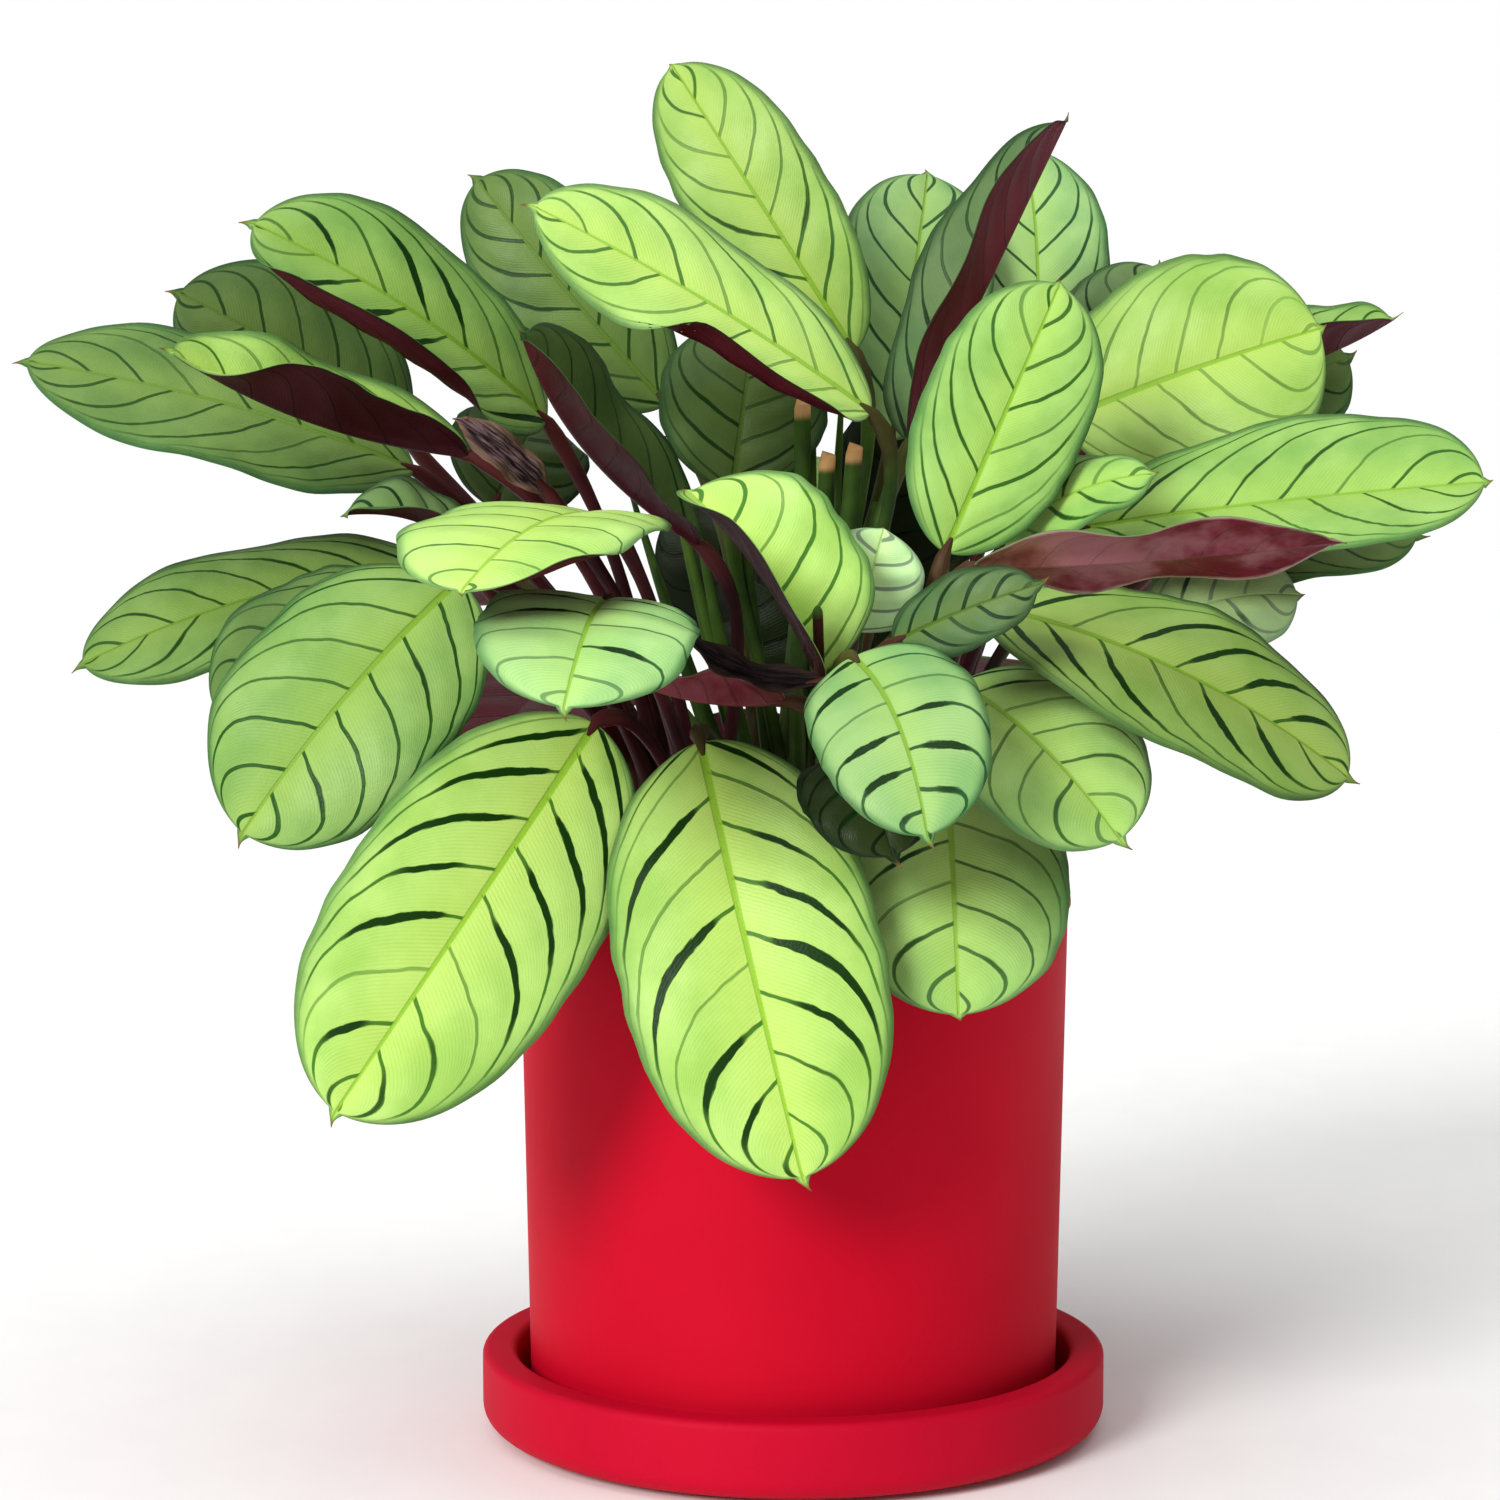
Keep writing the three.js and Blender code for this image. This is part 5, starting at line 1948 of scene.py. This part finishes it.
@dataclass
class Soil:
    """The soil in the pot: a low uneven mound with crumbs, bark and white grit on it."""

    top: float = 121.3
    radius: float = 61.5
    bottom_radius: float = 55.0
    bottom: float = 14.6
    bevel: float = 12.0
    shoulder: float = 3.0
    mound: float = 4.0
    rings: int = 34
    sides: int = 112
    # The uneven top: how deep its large and small lumps are, how far it is sunk, and where the lumps die down
    lumps: float = 0.55
    small_lumps: float = 0.25
    sunk: float = 0.4
    calm: Pair = (1.6, 1.5)
    calm_least: float = 0.15
    # How far out the scattered lumps lie, how flat they are, how uneven, and how far each stands out
    scatter: float = 0.96
    scatter_least: float = 0.01
    flatness: float = 0.75
    uneven: Pair = (0.72, 1.25)
    proud: float = 0.3
    scattered: tuple[Lumps, ...] = (
        Lumps(420, 0, (0.7, 2.0), 1.15),
        Lumps(45, 1, (1.0, 2.0), 2.4),
        Lumps(60, 2, (0.6, 1.4), 1.1),
    )

    def surface(self, x: np.ndarray, y: np.ndarray) -> np.ndarray:
        """The height of the soil: a mound under waves whose lengths don't repeat together.

        Args:
            x: How far right of the middle each place is.
            y: How far behind the middle it is.

        Returns:
            The height at each place.
        """
        away = np.sqrt(x**2 + y**2) / self.radius
        rise = self.mound / 2 * (1 + np.cos(np.pi * np.clip(away, 0, 1)))
        large = np.sin(x * 0.31 + 1) * np.sin(y * 0.27)
        large = large + 0.6 * np.sin(x * 0.83 + y * 0.4) * np.sin(y * 0.71 + 2)
        small = np.sin(x * 2.1 + y) * np.sin(y * 2.4 - x * 0.5)
        calm = np.clip(self.calm[0] - self.calm[1] * away, self.calm_least, 1)
        return self.top + rise - self.sunk + (self.lumps * large + self.small_lumps * small) * calm

    def add_bed(self, shape: Shape) -> None:
        """Adds the body of the soil, open only at its middle, which the crowns fill."""
        turns = np.linspace(0, 2 * np.pi, self.sides, endpoint=False)
        out = self.radius * (1 - np.linspace(0, 1, self.rings)[:, None])
        x, y = out * np.cos(turns), out * np.sin(turns)
        wall = (
            (self.bottom_radius, self.bottom),
            (self.radius, self.bottom + self.bevel),
            (self.radius, self.top - self.shoulder),
        )
        ring = np.stack([np.cos(turns), np.sin(turns), np.zeros(self.sides)], axis=-1)
        below = np.stack([ring * radius + (0, 0, height) for radius, height in wall])
        rings = np.concatenate([below, np.stack([x, y, self.surface(x, y)], axis=-1)])
        shape.add(rings, grid_faces(len(rings), self.sides, closed=True)[:, ::-1])

    def add_lumps(self, shape: Shape, lumps: Lumps) -> None:
        """Scatters lumps on the soil, each a ball of twenty triangles pulled out of shape."""
        ball, faces = icosahedron()
        rng = np.random.default_rng(SEED + lumps.slot)
        for _ in range(lumps.count):
            away = self.radius * self.scatter * math.sqrt(rng.uniform(self.scatter_least, 1))
            turn = rng.uniform(0, 2 * np.pi)
            x, y = away * math.cos(turn), away * math.sin(turn)
            size = rng.uniform(*lumps.sizes)
            scale = np.array([size * lumps.stretch, size, size * self.flatness])
            points = ball * scale * rng.uniform(*self.uneven, (len(ball), 1))
            spin = rng.uniform(0, np.pi)
            cos, sin = math.cos(spin), math.sin(spin)
            points = points @ np.array([[cos, sin, 0], [-sin, cos, 0], [0, 0, 1]])
            height = float(self.surface(np.array(x), np.array(y))) + size * self.proud
            shape.add(points + (x, y, height), faces, lumps.slot)

    def build(self, finishes: Sequence[bpy.types.Material]) -> bpy.types.Object:
        """Makes the soil, dressed in its earth, bark and grit."""
        shape = Shape()
        self.add_bed(shape)
        for lumps in self.scattered:
            self.add_lumps(shape, lumps)
        return shape.build("soil_bed", finishes)


@dataclass(frozen=True)
class Lamp:
    """A soft even light from a place towards the plant, softness degrees wide. The place is in metres."""

    name: str
    place: Vector
    softness: float
    power: float

    def build(self, aim_height: float) -> None:
        """Makes the lamp, turned towards a point that high over the floor's middle."""
        data = bpy.data.lights.new(self.name, "SUN")
        data.angle = math.radians(self.softness)
        data.energy = self.power
        lamp = bpy.data.objects.new(self.name, data)
        lamp.location = self.place
        way = unit(np.array([0, 0, aim_height]) - np.array(self.place))
        lamp.rotation_euler = (math.acos(-way[2]), 0, math.atan2(way[1], way[0]) - math.pi / 2)
        bpy.context.scene.collection.objects.link(lamp)


@dataclass
class Studio:
    """The pale floor, the soft light and the camera at the photograph's angle. Lengths are metres."""

    camera_place: Vector = (-0.0107, -0.890, 0.250)
    camera_dip: float = 5.3
    lens: float = 87.5
    floor_radius: float = 6.0
    floor_depth: float = 0.002
    floor_sides: int = 96
    world_strength: float = 0.38
    aim_height: float = 0.17
    lamps: tuple[Lamp, ...] = (
        Lamp("key", (-0.85, -1.15, 0.95), 22.0, 2.4),
        Lamp("top", (-0.1, -0.3, 1.7), 60.0, 1.3),
    )

    def floor(self, finish: bpy.types.Material) -> None:
        """Lays the floor."""
        shape = Shape()
        radius, depth = self.floor_radius / MM, self.floor_depth / MM
        turned(shape, [(0, -depth), (radius, -depth), (radius, 0), (0, 0)], self.floor_sides)
        shape.build("floor", [finish])

    def surround(self) -> None:
        """Lights the scene softly from all round, in front of a white background."""
        world = bpy.data.worlds.new("studio")
        world.use_nodes = True
        graph = Graph(world.node_tree)
        background = world.node_tree.nodes["Background"]
        background.inputs["Color"].default_value = (1, 1, 1, 1)
        seen = graph.node("ShaderNodeLightPath").outputs["Is Camera Ray"]
        graph.fill(background, Strength=graph.span(seen, 0.0, 1.0, self.world_strength, 1.0))
        bpy.context.scene.world = world

    def camera(self) -> None:
        """Sets up the camera."""
        data = bpy.data.cameras.new("camera")
        data.lens = self.lens
        camera = bpy.data.objects.new("camera", data)
        camera.location = self.camera_place
        camera.rotation_euler = (math.radians(90 - self.camera_dip), 0, 0)
        bpy.context.scene.collection.objects.link(camera)
        bpy.context.scene.camera = camera
        bpy.context.scene.view_settings.view_transform = "Standard"

    def build(self, finish: bpy.types.Material) -> None:
        """Sets up the floor, the lamps, the surrounding light and the camera."""
        self.floor(finish)
        for lamp in self.lamps:
            lamp.build(self.aim_height)
        self.surround()
        self.camera()


def settle(piece: bpy.types.Object, node: str) -> None:
    """Fixes a piece to the body, hides the solid that it stands for, and reports it."""
    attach(piece, "root")
    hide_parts(node)
    LOG.info("%s: %d faces, for %s", piece.name, len(piece.data.polygons), node)


def main() -> None:
    """Builds the plant, its pot and the studio, in order."""
    logging.basicConfig(level=logging.INFO, format="%(name)s %(message)s")
    pattern = LeafPattern().build()
    surface = mottle()
    settle(Saucer().build(SAUCER_SHADED_RED.material(surface)), "saucer")
    settle(Pot().build(POT_RED.material(surface)), "pot")
    settle(Soil().build([ground.material(surface) for ground in (EARTH, BARK, GRIT)]), "soil")

    blades = [Blade(name, leaf, number) for number, (name, leaf) in enumerate(LEAVES.items())]
    stalks = StalkFinish().material(surface)
    for name in SHOOT_PLACES:
        own = [blade for blade in blades if blade.leaf.shoot == name]
        settle(Shoot(name, own, Clump()).build(stalks), f"shoot_{name}")

    uppers = {tint: finish.material(pattern) for tint, finish in UPPER_FINISHES.items()}
    underside = UndersideFinish().material(pattern)
    for blade in blades:
        tint = blade.leaf.tint
        settle(blade.build([uppers[tint], underside]), f"leaf_{blade.name}")
    Studio().build(FLOOR.material(surface))


if __name__ == "__main__":
    main()
